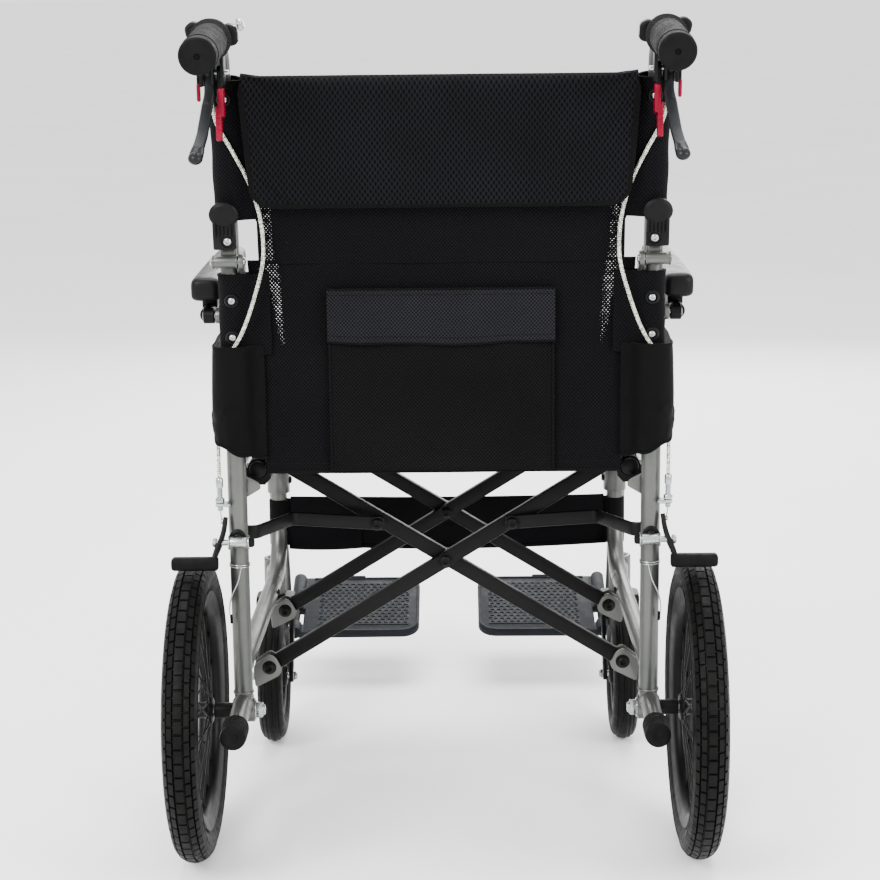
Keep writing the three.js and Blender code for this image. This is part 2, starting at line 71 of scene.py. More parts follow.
# ------------------------------------------------------------------ materials
class Recipe:
    """A material's nodes, made one call at a time."""

    def __init__(self, name, **shader):
        self.material = bpy.data.materials.new(name)
        self.material.use_nodes = True
        self.tree = self.material.node_tree
        self.shader = self.tree.nodes["Principled BSDF"]
        for socket, value in shader.items():
            self.shader.inputs[socket.replace("_", " ")].default_value = value

    def node(self, kind, inputs=None, **settings):
        made = self.tree.nodes.new(kind)
        for key, value in settings.items():
            setattr(made, key, value)
        for key, value in (inputs or {}).items():
            if isinstance(value, bpy.types.NodeSocket):
                self.tree.links.new(value, made.inputs[key])
            else:
                made.inputs[key].default_value = value
        return made

    def place(self):
        """Object coordinates, which are metres in the row frame."""
        return self.node("ShaderNodeTexCoord").outputs["Object"]

    def weave_place(self):
        """Metres along the cloth, from its own map."""
        return self.node("ShaderNodeUVMap", uv_map="weave").outputs["UV"]

    def math(self, operation, a, b=0.0, c=0.0):
        return self.node("ShaderNodeMath", {0: a, 1: b, 2: c}, operation=operation).outputs[0]

    def total(self, *parts):
        """The sum of (value, weight) pairs."""
        made = 0.0
        for value, weight in parts:
            made = self.math("MULTIPLY_ADD", value, weight, made)
        return made

    def wave(self, value, pitch):
        """A sine along a length in metres, one turn to each pitch in millimetres."""
        return self.math("SINE", self.math("MULTIPLY", value, 2 * math.pi * 1000 / pitch))

    def diagonals(self, pitch):
        """Two waves that cross each other on the cloth's map."""
        parts = self.node("ShaderNodeSeparateXYZ", {"Vector": self.weave_place()}).outputs
        return [self.wave(self.math(way, parts["X"], parts["Y"]), pitch) for way in ("ADD", "SUBTRACT")]

    def vector(self, operation, a, b=(0, 0, 0), out="Vector"):
        return self.node("ShaderNodeVectorMath", {0: a, 1: b}, operation=operation).outputs[out]

    def noise(self, scale, detail=3.0, rough=0.55, place=None):
        inputs = {"Vector": place or self.place(), "Scale": scale, "Detail": detail, "Roughness": rough}
        return self.node("ShaderNodeTexNoise", inputs).outputs["Fac"]

    def voronoi(self, scale):
        return self.node("ShaderNodeTexVoronoi", {"Vector": self.place(), "Scale": scale}).outputs["Distance"]

    def between(self, value, low, high, out_low=0.0, out_high=1.0):
        inputs = {"Value": value, "From Min": low, "From Max": high, "To Min": out_low, "To Max": out_high}
        return self.node("ShaderNodeMapRange", inputs).outputs["Result"]

    def colours(self, value, stops):
        made = self.node("ShaderNodeValToRGB", {"Fac": value})
        ramp = made.color_ramp
        while len(ramp.elements) < len(stops):
            ramp.elements.new(0.5)
        for element, (position, colour) in zip(ramp.elements, stops):
            element.position = position
            element.color = (*colour, 1)
        return made.outputs["Color"]

    def mix(self, share, a, b):
        made = self.node("ShaderNodeMix", data_type="RGBA")
        for index, value in ((0, share), (6, a), (7, b)):
            if isinstance(value, bpy.types.NodeSocket):
                self.tree.links.new(value, made.inputs[index])
            else:
                made.inputs[index].default_value = value if index == 0 else (*value, 1)
        return made.outputs[2]

    def colour(self, socket):
        self.tree.links.new(socket, self.shader.inputs["Base Color"])

    def roughness(self, value, low, high):
        """Roughness from low to high, by a noise."""
        self.tree.links.new(self.between(value, 0.3, 0.7, low, high), self.shader.inputs["Roughness"])

    def bump(self, *layers):
        """Layers of (height, strength, distance in metres), each on the one before."""
        normal = None
        for height, strength, distance in layers:
            inputs = {"Height": height, "Strength": strength, "Distance": distance}
            if normal is not None:
                inputs["Normal"] = normal
            normal = self.node("ShaderNodeBump", inputs).outputs["Normal"]
        self.tree.links.new(normal, self.shader.inputs["Normal"])


def dimmed(colour, share):
    return tuple(share * c for c in colour)


def painted(name, dark, light, rough, metallic, coat=0.0, grain=700.0):
    r = Recipe(name, Metallic=metallic, Coat_Weight=coat, Coat_Roughness=0.2, Specular_IOR_Level=0.1)
    shade = r.total((r.noise(14.0, 4.0), 0.6), (r.noise(grain * 2.2, 2.0), 0.4))
    r.colour(r.colours(shade, [(0.3, dark), (0.7, light)]))
    r.roughness(r.noise(60.0, 5.0), *rough)
    r.bump((r.noise(grain, 2.0), 0.12, 0.0003), (r.noise(120.0, 2.0), 0.05, 0.0008))
    return r.material


def moulded(name, dark, light, rough, grain=1400.0, depth=0.25):
    r = Recipe(name, Specular_IOR_Level=0.1)
    r.colour(r.colours(r.noise(22.0, 5.0), [(0.32, dark), (0.68, light)]))
    r.roughness(r.noise(90.0, 4.0), *rough)
    r.bump((r.voronoi(grain), depth, 0.0002), (r.noise(300.0, 2.0), 0.08, 0.0005))
    return r.material


def plated(name, tint, rough):
    r = Recipe(name, Metallic=1.0)
    r.colour(r.colours(r.noise(45.0, 5.0), [(0.3, dimmed(tint, 0.72)), (0.7, tint)]))
    r.roughness(r.noise(240.0, 4.0), *rough)
    r.bump((r.noise(500.0, 3.0), 0.1, 0.0003))
    return r.material


def rubbery(name, dark, light, rough):
    r = Recipe(name, Specular_IOR_Level=0.08)
    r.colour(r.colours(r.noise(40.0, 6.0, 0.65), [(0.35, dark), (0.7, light)]))
    r.roughness(r.noise(130.0, 4.0), *rough)
    r.bump((r.noise(900.0, 3.0), 0.3, 0.0003), (r.noise(70.0, 3.0), 0.1, 0.001))
    return r.material


def meshed(name, pitch, hole, thread, pit, sheer=False, sheen=0.02):
    """Knitted mesh, its rows of holes set between each other. pitch and hole are (across, down) in mm. The
    holes are coloured pit: partly the dark cloth behind them, partly painted shade in their depth.
    """
    r = Recipe(name, Roughness=0.85, Sheen_Weight=sheen, Sheen_Roughness=0.4, Specular_IOR_Level=0.05)
    place = r.weave_place()
    wander = r.node("ShaderNodeTexNoise", {"Vector": place, "Scale": 25.0, "Detail": 2.0}).outputs["Color"]
    wander = r.vector("SCALE", r.vector("SUBTRACT", wander, (0.5, 0.5, 0.5)))
    wander.node.inputs["Scale"].default_value = 0.0016
    place = r.vector("ADD", place, wander)
    cells = r.vector("MULTIPLY", place, (1000 / pitch[0], 1000 / pitch[1], 0))
    shape = (pitch[0] / hole[0], pitch[1] / hole[1], 0)
    nearest = None
    for shift in ((0, 0, 0), (0.5, 0.5, 0)):
        local = r.vector("SUBTRACT", r.vector("FRACTION", r.vector("ADD", cells, shift)), (0.5, 0.5, 0))
        far = r.vector("LENGTH", r.vector("MULTIPLY", local, shape), out="Value")
        nearest = far if nearest is None else r.math("MINIMUM", nearest, far)
    yarn = r.between(nearest, 0.32, 0.62)
    fibre = r.noise(900.0, 2.0, place=place)
    cloud = r.noise(9.0, 4.0)
    lit = r.colours(r.total((fibre, 0.5), (cloud, 0.5)),
                    [(0.35, dimmed(thread, 0.6)), (0.65, dimmed(thread, 1.25))])
    # The holes take the pit colour: the dark cloth behind them, darkened further as painted shade.
    r.colour(r.mix(yarn, pit, lit))
    r.roughness(fibre, 0.72, 0.95)
    r.bump((yarn, 0.9, 0.0007), (fibre, 0.35, 0.0003))
    if sheer:
        zone = r.node("ShaderNodeAttribute", attribute_name="sheer").outputs["Fac"]
        patchy = r.between(r.noise(160.0, 2.0), 0.35, 0.62, 0.16, 0.4)
        hole_size = r.math("MULTIPLY", zone, patchy)
        r.tree.links.new(r.between(r.math("SUBTRACT", nearest, hole_size), -0.02, 0.02),
                         r.shader.inputs["Alpha"])
    return r.material


def woven(name, thread, pitch, rib=False, rough=(0.6, 0.85)):
    """Plain weave or, with rib, webbing whose ribs run across it."""
    r = Recipe(name, Sheen_Weight=0.02, Sheen_Roughness=0.35, Specular_IOR_Level=0.05)
    place = r.weave_place()
    parts = r.node("ShaderNodeSeparateXYZ", {"Vector": place}).outputs
    warp = r.wave(parts["X"], pitch)
    weft = r.wave(parts["Y"], pitch / 0.55 if rib else pitch)
    cloth = r.between(r.math("MULTIPLY", warp, weft), -1.0, 1.0)
    fuzz = r.noise(1300.0, 2.0, place=place)
    cloud = r.noise(11.0, 4.0)
    shade = r.total((cloth, 0.35), (cloud, 0.45), (fuzz, 0.2))
    r.colour(r.colours(shade, [(0.3, dimmed(thread, 0.45)), (0.75, dimmed(thread, 1.3))]))
    r.roughness(cloud, *rough)
    r.bump((cloth, 0.5, 0.0004), (r.noise(26.0, 3.0), 0.35, 0.003))
    return r.material


def braided(name):
    r = Recipe(name, Roughness=0.5, Metallic=0.2)
    braid = r.between(r.math("MULTIPLY", *r.diagonals(4.6)), -0.6, 0.6)
    fleck = r.between(r.noise(380.0, 3.0), 0.42, 0.6)
    both = r.total((braid, 0.45), (fleck, 0.55))
    r.colour(r.colours(both,
                       [(0.12, (0.06, 0.06, 0.05)), (0.4, (0.36, 0.37, 0.31)), (0.75, (0.68, 0.69, 0.6))]))
    r.bump((braid, 0.8, 0.0006))
    return r.material


def knurled(name):
    r = Recipe(name, Specular_IOR_Level=0.08)
    knurl = r.between(r.math("MAXIMUM", *r.diagonals(3.4)), -0.4, 0.9)
    dust = r.noise(60.0, 5.0)
    shade = r.total((knurl, 0.55), (dust, 0.45))
    r.colour(r.colours(shade, [(0.2, (0.0024, 0.0024, 0.0026)), (0.8, (0.0135, 0.0135, 0.0142))]))
    r.roughness(dust, 0.6, 0.85)
    r.bump((knurl, 0.8, 0.0008), (r.noise(900.0, 2.0), 0.2, 0.0003))
    return r.material


SILVER = painted("frame_paint", (0.07, 0.073, 0.068), (0.115, 0.118, 0.11), (0.3, 0.42), 0.8)
BLACK = painted("black_coat", (0.0012, 0.0012, 0.0012),
                (0.0034, 0.0032, 0.003), (0.36, 0.5), 0.0, 0.0, 1100.0)
GLOSS = painted("gloss_black", (0.0006, 0.0006, 0.0007), (0.0018, 0.0018, 0.002), (0.34, 0.48), 0.0, 0.0)
GREY_METAL = painted("lever_metal", (0.005, 0.0053, 0.006), (0.013, 0.0136, 0.0148), (0.28, 0.4), 0.2, 0.04)
ZINC = plated("zinc", (0.4, 0.42, 0.42), (0.2, 0.38))
PLASTIC = moulded("black_plastic", (0.0011, 0.0011, 0.0013), (0.0036, 0.0036, 0.004), (0.4, 0.55))
PLATE_GREY = moulded("grey_plastic", (0.0042, 0.0052, 0.0068),
                     (0.0082, 0.0098, 0.0124), (0.45, 0.62), 1800.0, 0.35)
RED = moulded("red_plastic", (0.12, 0.0008, 0.01), (0.19, 0.002, 0.018), (0.3, 0.42), 600.0, 0.1)
CAP = rubbery("cap_rubber", (0.001, 0.001, 0.001), (0.003, 0.003, 0.003), (0.55, 0.75))
TYRE = rubbery("tyre_rubber", (0.0007, 0.0007, 0.0007), (0.0034, 0.0033, 0.003), (0.42, 0.66))
PAD = moulded("pad_skin", (0.0014, 0.0014, 0.0017), (0.0038, 0.0038, 0.0043), (0.33, 0.48), 800.0, 0.45)
# The last colour of each mesh is its holes: the dark cloth behind, darkened as painted shade.
FLAP_MESH = meshed("flap_mesh", (5.9, 8.3), (2.7, 5.0), (0.0044, 0.0045, 0.0056), (0.0002, 0.0002, 0.0003))
BACK_MESH = meshed("back_mesh", (4.0, 4.6), (2.2, 2.4),
                   (0.0032, 0.0031, 0.004), (0.0003, 0.0003, 0.0004), True)
POCKET_MESH = meshed("pocket_mesh", (4.0, 4.6), (2.2, 2.4), (0.0036, 0.0035, 0.0039),
                     (0.0004, 0.0004, 0.0005))
LID_MESH = meshed("lid_mesh", (4.0, 4.6), (2.2, 2.4), (0.0105, 0.0105, 0.0128),
                  (0.0013, 0.0013, 0.0016), sheen=0.08)
TAPE = woven("binding_tape", (0.0018, 0.0018, 0.0018), 1.1, rib=True)
WEBBING = woven("webbing", (0.0018, 0.0018, 0.0024), 1.4, rib=True)
GUARD = woven("guard_cloth", (0.0012, 0.0012, 0.0014), 0.7, rough=(0.5, 0.7))
SEAT = woven("seat_nylon", (0.0024, 0.0025, 0.003), 1.0)
THREAD = woven("thread", (0.0045, 0.0045, 0.0048), 0.4)
# A near-black disc for the grip's end hole: painted shade standing in for the dark inside of the hole.
HOLE_SHADE = moulded("painted_hole_shade", (0.0002, 0.0002, 0.0002), (0.0003, 0.0003, 0.0003), (0.9, 0.95))
BRAID = braided("cable_braid")
GRIP_KNURL = knurled("grip_knurl")


# ------------------------------------------------------------------ shapes
def bend(points, radii, steps=10):
    """The corners of a polyline turned into the same bends as the CAD tubes have."""
    points = [Vector(p) for p in points]
    stops = [points[0]]
    for i in range(1, len(points) - 1):
        radius = radii[i - 1] if isinstance(radii, (list, tuple)) else radii
        before = (points[i] - points[i - 1]).normalized()
        after = (points[i + 1] - points[i]).normalized()
        reach = radius * math.tan(before.angle(after) / 2)
        start, end = points[i] - before * reach, points[i] + after * reach
        for k in range(steps + 1):
            t = k / steps
            stops.append(start * (1 - t) ** 2 + points[i] * (2 * t * (1 - t)) + end * t * t)
    stops.append(points[-1])
    return stops


def smooth_path(points, count):
    """Centripetal Catmull-Rom through the points, resampled evenly."""
    points = [Vector(p) for p in points]
    ends = [points[0] * 2 - points[1]] + points + [points[-1] * 2 - points[-2]]
    dense = []
    for a, b, c, d in zip(ends, ends[1:], ends[2:], ends[3:]):
        t0, t1 = 0.0, max((b - a).length, 1e-6) ** 0.5
        t2 = t1 + max((c - b).length, 1e-6) ** 0.5
        t3 = t2 + max((d - c).length, 1e-6) ** 0.5
        for k in range(24):
            t = t1 + (t2 - t1) * k / 24
            a1 = a * ((t1 - t) / (t1 - t0)) + b * ((t - t0) / (t1 - t0))
            a2 = b * ((t2 - t) / (t2 - t1)) + c * ((t - t1) / (t2 - t1))
            a3 = c * ((t3 - t) / (t3 - t2)) + d * ((t - t2) / (t3 - t2))
            b1 = a1 * ((t2 - t) / (t2 - t0)) + a2 * ((t - t0) / (t2 - t0))
            b2 = a2 * ((t3 - t) / (t3 - t1)) + a3 * ((t - t1) / (t3 - t1))
            dense.append(b1 * ((t2 - t) / (t2 - t1)) + b2 * ((t - t1) / (t2 - t1)))
    dense.append(points[-1])
    length = np.cumsum([0.0] + [(b - a).length for a, b in zip(dense, dense[1:])])
    coords = np.array(dense)
    wanted = np.linspace(0, length[-1], count)
    return [Vector(p) for p in np.stack([np.interp(wanted, length, coords[:, i]) for i in range(3)], 1)]


def frames(points):
    """A tangent and two side vectors at each point, turned as little as possible along the path."""
    tangents = []
    for i in range(len(points)):
        ahead = points[min(i + 1, len(points) - 1)] - points[i]
        behind = points[i] - points[max(i - 1, 0)]
        tangents.append((ahead.normalized() + behind.normalized()).normalized())
    side = tangents[0].orthogonal().normalized()
    made = []
    for t in tangents:
        side = (side - t * side.dot(t)).normalized()
        made.append((t, side, t.cross(side)))
    return made


def neighbours(path):
    """The direction of a path at each of its points, from the point before to the point after."""
    return [path[min(i + 1, len(path) - 1)] - path[max(i - 1, 0)] for i in range(len(path))]


def turns(count):
    return [2 * math.pi * k / count for k in range(count)]


def arc(centre, radius, start, end, count):
    """Points on an arc. radius may be a pair, for an ellipse."""
    wide, high = radius if isinstance(radius, tuple) else (radius, radius)
    return [(centre[0] + wide * math.cos(t),
             centre[1] + high * math.sin(t)) for t in np.linspace(start, end, count)]


def both_ways(half):
    """A profile of (radius, along) and its mirror image, joined at its last point."""
    return half + [(radius, -along) for radius, along in reversed(half[:-1])]


def axis_frame(axis):
    """A unit axis and two sides across it."""
    axis = Vector(axis).normalized()
    side = axis.orthogonal().normalized()
    return axis, side, axis.cross(side)


def outline_capsule(a, b, radius):
    """A two-point capsule's outline, in its own plane."""
    angle = math.atan2(b[1] - a[1], b[0] - a[0])
    quarter = math.pi / 2
    return (arc(b, radius, angle - quarter, angle + quarter, 11)
            + arc(a, radius, angle + quarter, angle + 3 * quarter, 11))


def outline_round(points, radius, steps=5):
    """A polygon with its corners rounded."""
    points = [Vector((*p, 0)) for p in points]
    made = []
    for i, corner in enumerate(points):
        before = points[i - 1] - corner
        after = points[(i + 1) % len(points)] - corner
        reach = min(radius, before.length * 0.45, after.length * 0.45)
        start, end = corner + before.normalized() * reach, corner + after.normalized() * reach
        for k in range(steps + 1):
            t = k / steps
            spot = start * (1 - t) ** 2 + corner * (2 * t * (1 - t)) + end * t * t
            made.append((spot.x, spot.y))
    return made


PLANES = {
    "XZ": (Vector((1, 0, 0)), Vector((0, 0, 1)), Vector((0, 1, 0))),
    "YZ": (Vector((0, 1, 0)), Vector((0, 0, 1)), Vector((1, 0, 0))),
    "XY": (Vector((1, 0, 0)), Vector((0, 1, 0)), Vector((0, 0, 1))),
}


class Shape:
    """Closed surfaces gathered in millimetres, with a material number and a cloth place on each vertex."""

    def __init__(self, *materials):
        self.materials = materials
        self.verts, self.faces, self.slots, self.weave = [], [], [], []

    def slot(self, material):
        return self.materials.index(material) if material else 0

    def add(self, verts, faces, material=None, weave=None):
        base = len(self.verts)
        self.verts += [Vector(v) for v in verts]
        self.weave += list(weave) if weave else [(v[0] + 0.7 * v[1], v[2]) for v in verts]
        self.faces += [tuple(base + i for i in f) for f in faces]
        self.slots += [self.slot(material)] * len(faces)
        return self

    def skin(self, rings, material=None, loop=False, weave=None):
        """Joins rings of equally many points, and closes the two ends."""
        n = len(rings[0])
        faces = []
        count = len(rings)
        for r in range(count if loop else count - 1):
            s = (r + 1) % count
            for i in range(n):
                j = (i + 1) % n
                faces.append((r * n + i, r * n + j, s * n + j, s * n + i))
        if not loop:
            faces.append(tuple(reversed(range(n))))
            faces.append(tuple((count - 1) * n + i for i in range(n)))
        return self.add([p for ring in rings for p in ring], faces, material, weave)

    def tube(self, points, radius, sides=28, material=None, lip=0.8):
        """A round tube along a path, its two ends eased by lip."""
        points = [Vector(p) for p in points]
        radii = [radius] * len(points)
        lip = min(lip, radius * 0.6)
        steps = frames(points)
        if lip:
            first, last = steps[0][0], steps[-1][0]
            points = [points[0], points[0] + first * lip, *points[1:-1], points[-1] - last * lip, points[-1]]
            radii = [radii[0] - lip, radii[0], *radii[1:-1], radii[-1], radii[-1] - lip]
            steps = [steps[0], *steps, steps[-1]]
        rings, weave, run = [], [], 0.0
        for i, (p, r, (t, u, v)) in enumerate(zip(points, radii, steps)):
            run += (p - points[i - 1]).length if i else 0.0
            rings.append([p + u * (r * math.cos(a)) + v * (r * math.sin(a)) for a in turns(sides)])
            weave += [(radius * (math.pi - abs(math.pi - a)), run) for a in turns(sides)]
        return self.skin(rings, material, weave=weave)

    def rod(self, start, end, radius, material=None, sides=24, lip=0.6):
        return self.tube([start, end], radius, sides, material, lip)

    def lathe(self, profile, origin, axis, segments=32, material=None, loop=False):
        """Turns a profile of (radius, along) about an axis. A looped profile makes a ring."""
        axis, side, other = axis_frame(axis)
        origin = Vector(origin)
        verts, faces, weave = [], [], []
        m = len(profile)
        run = np.cumsum([0.0] + [math.dist(a, b) for a, b in zip(profile, profile[1:])])
        widest = max(radius for radius, _ in profile)
        for a in turns(segments):
            out = side * math.cos(a) + other * math.sin(a)
            verts += [origin + axis * along + out * radius for radius, along in profile]
            weave += [(widest * (math.pi - abs(math.pi - a)), d) for d in run]
        for k in range(segments):
            q = (k + 1) % segments
            for i in range(m if loop else m - 1):
                j = (i + 1) % m
                faces.append((k * m + i, k * m + j, q * m + j, q * m + i))
        if not loop:
            faces.append(tuple(k * m for k in range(segments)))
            faces.append(tuple(k * m + m - 1 for k in reversed(range(segments))))
        return self.add(verts, faces, material, weave)

    def plate(self, outline, plane, low, high, material=None, ease=0.6):
        """An outline in one plane with a thickness along the third axis, its rims rounded a little."""
        u, v, w = PLANES[plane]
        middle = sum((Vector((*p, 0)) for p in outline), Vector()) / len(outline)
        rings = []
        for along, inset in ((low, ease), (low + ease, 0), (high - ease, 0), (high, ease)):
            ring = []
            for p in outline:
                flat = Vector((*p, 0))
                flat -= (flat - middle).normalized() * inset
                ring.append(u * flat.x + v * flat.y + w * along)
            rings.append(ring)
        return self.skin(rings, material)

    def block(self, x, y, z, material=None, corner=1.0):
        """A box with rounded upright edges and eased rims, between (low, high) pairs."""
        outline = outline_round([(x[0], y[0]), (x[1], y[0]), (x[1], y[1]), (x[0], y[1])], corner, 3)
        return self.plate(outline, "XY", z[0], z[1], material, min(corner, 1.0) * 0.8)

    def collar(self, inner, outer, low, high, origin, axis, segments=32, material=None, ease=(0.8, 1)):
        """A ring round an axis, from low to high along it, its edges eased by (radius, along)."""
        shoulder = outer - ease[0]
        profile = [(inner, low), (shoulder, low), (outer, low + ease[1])]
        profile += [(outer, high - ease[1]), (shoulder, high), (inner, high)]
        return self.lathe(profile, origin, axis, segments, material, loop=True)

    def bolt(self, origin, axis, radius=6.0, height=4.0, material=None, socket=True):
        """A domed button head that stands on origin and points along axis, with a hexagon socket."""
        r, h = radius, height
        profile = [(r * 0.96, 0), (r, h * 0.25), (r * 0.86, h * 0.7), (r * 0.6, h * 0.95)]
        if socket:
            profile += [(r * 0.42, h), (r * 0.4, h * 0.35), (0.01, h * 0.3)]
        else:
            profile += [(r * 0.3, h * 1.02), (0.01, h * 1.04)]
        return self.lathe(profile, origin, axis, 18, material)

    def nut(self, origin, axis, across=7.5, height=6.0, material=None, dome=0.0):
        """A hexagon nut with a round collar, standing on origin."""
        axis, side, other = axis_frame(axis)
        rings = []
        for along, share in ((0, 0.93), (0.8, 1), (height - 0.8, 1), (height, 0.9)):
            ring = []
            for a in turns(6):
                out = side * math.cos(a) + other * math.sin(a)
                ring.append(Vector(origin) + axis * along + out * across * share)
            rings.append(ring)
        self.skin(rings, material)
        top = across * 0.72
        if dome:
            curve = [(top * math.cos(t), height - 0.5 + dome * math.sin(t)) for t in np.linspace(0, 1.5, 7)]
            return self.lathe([(top, height - 2)] + curve, origin, axis, 18, material)
        return self.lathe([(top, height - 1), (top, height + 1.2), (top * 0.6, height + 1.6),
                           (0.01, height + 1.6)],
                          origin, axis, 18, material)

    def washer(self, origin, axis, radius, thickness=1.4, material=None):
        profile = [(0.01, 0), (radius - 0.3, 0), (radius, 0.4), (radius, thickness - 0.4),
                   (radius - 0.4, thickness),
                   (0.01, thickness)]
        return self.lathe(profile, origin, axis, 22, material)

    def bead(self, centre, axis, radius, thick=1.6, material=None):
        """A weld bead: a ring of overlapping ripples."""
        lumps = 26
        axis, side, other = axis_frame(axis)
        rings = []
        for a in turns(lumps * 3):
            out = side * math.cos(a) + other * math.sin(a)
            size = thick * (0.78 + 0.22 * abs(math.cos(a * lumps / 2)))
            rings.append([Vector(centre) + out * (radius + size * 0.7 * math.cos(b))
                          + axis * (size * math.sin(b)) for b in turns(8)])
        return self.skin(rings, material, loop=True)

    def moved(self, matrix):
        self.verts = [matrix @ v for v in self.verts]
        return self

    def piece(self, name, body=None, side=1, nodes=(), slot=None, bevel=0.0, sharp=38.0, blend=None):
        """Makes the object, mirrored for the left side, and lets it ride on a body, or with blend bakes it in
        place.
        """
        obj = mesh_object(name, self.verts, self.faces, self.materials, self.slots, self.weave, side)
        tidy_normals(obj.data)
        if bevel:
            made = obj.modifiers.new("bevel", "BEVEL")
            made.width = bevel * MM
            made.segments = 2
            made.limit_method = "ANGLE"
            made.angle_limit = math.radians(42)
            apply_modifiers(obj)
        shade(obj, sharp)
        attach(obj, body, blend, nodes)
        return obj


def mesh_object(name, verts, faces, materials, slots, weave, side):
    """A mesh of points in millimetres, mirrored for the left side, with its cloth map in metres."""
    mesh = bpy.data.meshes.new(name)
    mesh.from_pydata([at(side * v.x, v.y, v.z) for v in verts], [], faces)
    for material in materials:
        mesh.materials.append(material)
    mesh.polygons.foreach_set("material_index", slots)
    layer = mesh.uv_layers.new(name="weave")
    loops = np.zeros(len(mesh.loops), int)
    mesh.loops.foreach_get("vertex_index", loops)
    layer.data.foreach_set("uv", (np.array(weave, float)[loops] * MM).ravel())
    obj = bpy.data.objects.new(name, mesh)
    SCENE.collection.objects.link(obj)
    return obj


def tidy_normals(mesh):
    bm = bmesh.new()
    bm.from_mesh(mesh)
    bmesh.ops.recalc_face_normals(bm, faces=bm.faces)
    bm.to_mesh(mesh)
    bm.free()


def apply_modifiers(obj):
    bpy.context.view_layer.update()
    graph = bpy.context.evaluated_depsgraph_get()
    made = bpy.data.meshes.new_from_object(obj.evaluated_get(graph))
    obj.modifiers.clear()
    obj.data = made


def shade(obj, sharp):
    obj.data.shade_smooth()
    obj.data.set_sharp_from_angle(angle=math.radians(sharp))


def fold_cloth(shift, x, y, z, size=70.0):
    """A smooth wander of cloth at a place, in millimetres either way of zero."""
    return shift * noise.noise(Vector((x / size, y / size + 7.3, z / size)))


def settle(obj, slack, cap):
    """Lets a sheet that is held along its edges find its own small folds, by cloth simulation."""
    frames = 16
    mesh = obj.data
    rest = np.zeros(len(mesh.vertices) * 3)
    mesh.vertices.foreach_get("co", rest)
    rest = rest.reshape(-1, 3)
    edges = {}
    for face in mesh.polygons:
        for key in face.edge_keys:
            edges[key] = edges.get(key, 0) + 1
    held = obj.vertex_groups.new(name="held")
    held.add(sorted({v for key, count in edges.items() if count == 1 for v in key}), 1.0, "REPLACE")
    made = obj.modifiers.new("cloth", "CLOTH")
    made.settings.quality = 6
    made.settings.mass = 0.12
    made.settings.tension_stiffness = 12
    made.settings.compression_stiffness = 9
    made.settings.bending_stiffness = 0.35
    made.settings.shrink_min = -slack
    made.settings.vertex_group_mass = held.name
    made.settings.effector_weights.gravity = 0.4
    made.collision_settings.use_collision = False
    made.point_cache.frame_end = frames
    for frame_number in range(1, frames + 1):
        SCENE.frame_set(frame_number)
    graph = bpy.context.evaluated_depsgraph_get()
    got = np.zeros(rest.size)
    obj.evaluated_get(graph).data.vertices.foreach_get("co", got)
    step = got.reshape(-1, 3) - rest
    length = np.linalg.norm(step, axis=1, keepdims=True)
    step *= np.minimum(1.0, cap * MM / np.maximum(length, 1e-9))
    obj.modifiers.clear()
    obj.vertex_groups.clear()
    SCENE.frame_set(1)
    mesh.vertices.foreach_set("co", (rest + step).ravel())
    mesh.update()


def cloth(name, point, across, down, thickness, material, body=None, blend=None, nodes=(), slot=None,
          sheer=None, side=1, slack=0.0, cap=3.0):
    """A sheet on a grid of point(u, v) in millimetres, with its own thickness and a map in real lengths."""
    us, vs = list(across), list(down)
    rows = [[Vector(point(u, v)) for u in us] for v in vs]
    cols = len(us)
    verts = [p for row in rows for p in row]
    faces = []
    for r in range(len(vs) - 1):
        for c in range(cols - 1):
            faces.append((r * cols + c, r * cols + c + 1, (r + 1) * cols + c + 1, (r + 1) * cols + c))
    middle = cols // 2
    run_v = np.cumsum([0.0] + [(b[middle] - a[middle]).length for a, b in zip(rows, rows[1:])])
    weave = []
    for row, down_run in zip(rows, run_v):
        run_u = np.cumsum([0.0] + [(b - a).length for a, b in zip(row, row[1:])])
        weave += [(u - run_u[middle], down_run) for u in run_u]
    obj = mesh_object(name, verts, faces, [material], [0] * len(faces), weave, side)
    if sheer:
        values = obj.data.attributes.new("sheer", "FLOAT", "POINT")
        values.data.foreach_set("value", [float(sheer(u, v)) for v in vs for u in us])
    if slack:
        settle(obj, slack, cap)
    thick = obj.modifiers.new("thickness", "SOLIDIFY")
    thick.thickness = thickness * MM
    thick.offset = 0.0
    thick.use_even_offset = False
    apply_modifiers(obj)
    tidy_normals(obj.data)
    shade(obj, 50)
    attach(obj, body, blend, nodes)
    return obj


def attach(obj, body=None, blend=None, nodes=()):
    if blend:
        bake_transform(obj)
    elif body:
        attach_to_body(obj, body)
    if nodes:
        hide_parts(*nodes)


def ribbon(shape, points, normals, width, thick, material=None):
    """A flat band with rounded rims along a path, lying across the normals."""
    points = [Vector(p) for p in points]
    count = len(points)
    section = [(0.5, 0), (0.46, 0.36), (0.38, 0.5), (-0.38, 0.5), (-0.46, 0.36), (-0.5, 0), (-0.46, -0.36),
               (-0.38, -0.5), (0.38, -0.5), (0.46, -0.36)]
    rings, weave, run = [], [], 0.0
    for i, p in enumerate(points):
        ahead = points[i + 1] if i < count - 1 else p
        behind = points[i - 1] if i else p
        t = (ahead - behind).normalized()
        n = Vector(normals[i] if isinstance(normals, list) else normals)
        n = (n - t * n.dot(t)).normalized()
        s = t.cross(n)
        run += (p - points[i - 1]).length if i else 0.0
        wide = width[i] if isinstance(width, (list, tuple)) else width
        rings.append([p + s * (a * wide) + n * (b * thick) for a, b in section])
        weave += [(a * wide + b, run) for a, b in section]
    return shape.skin(rings, material, weave=weave)


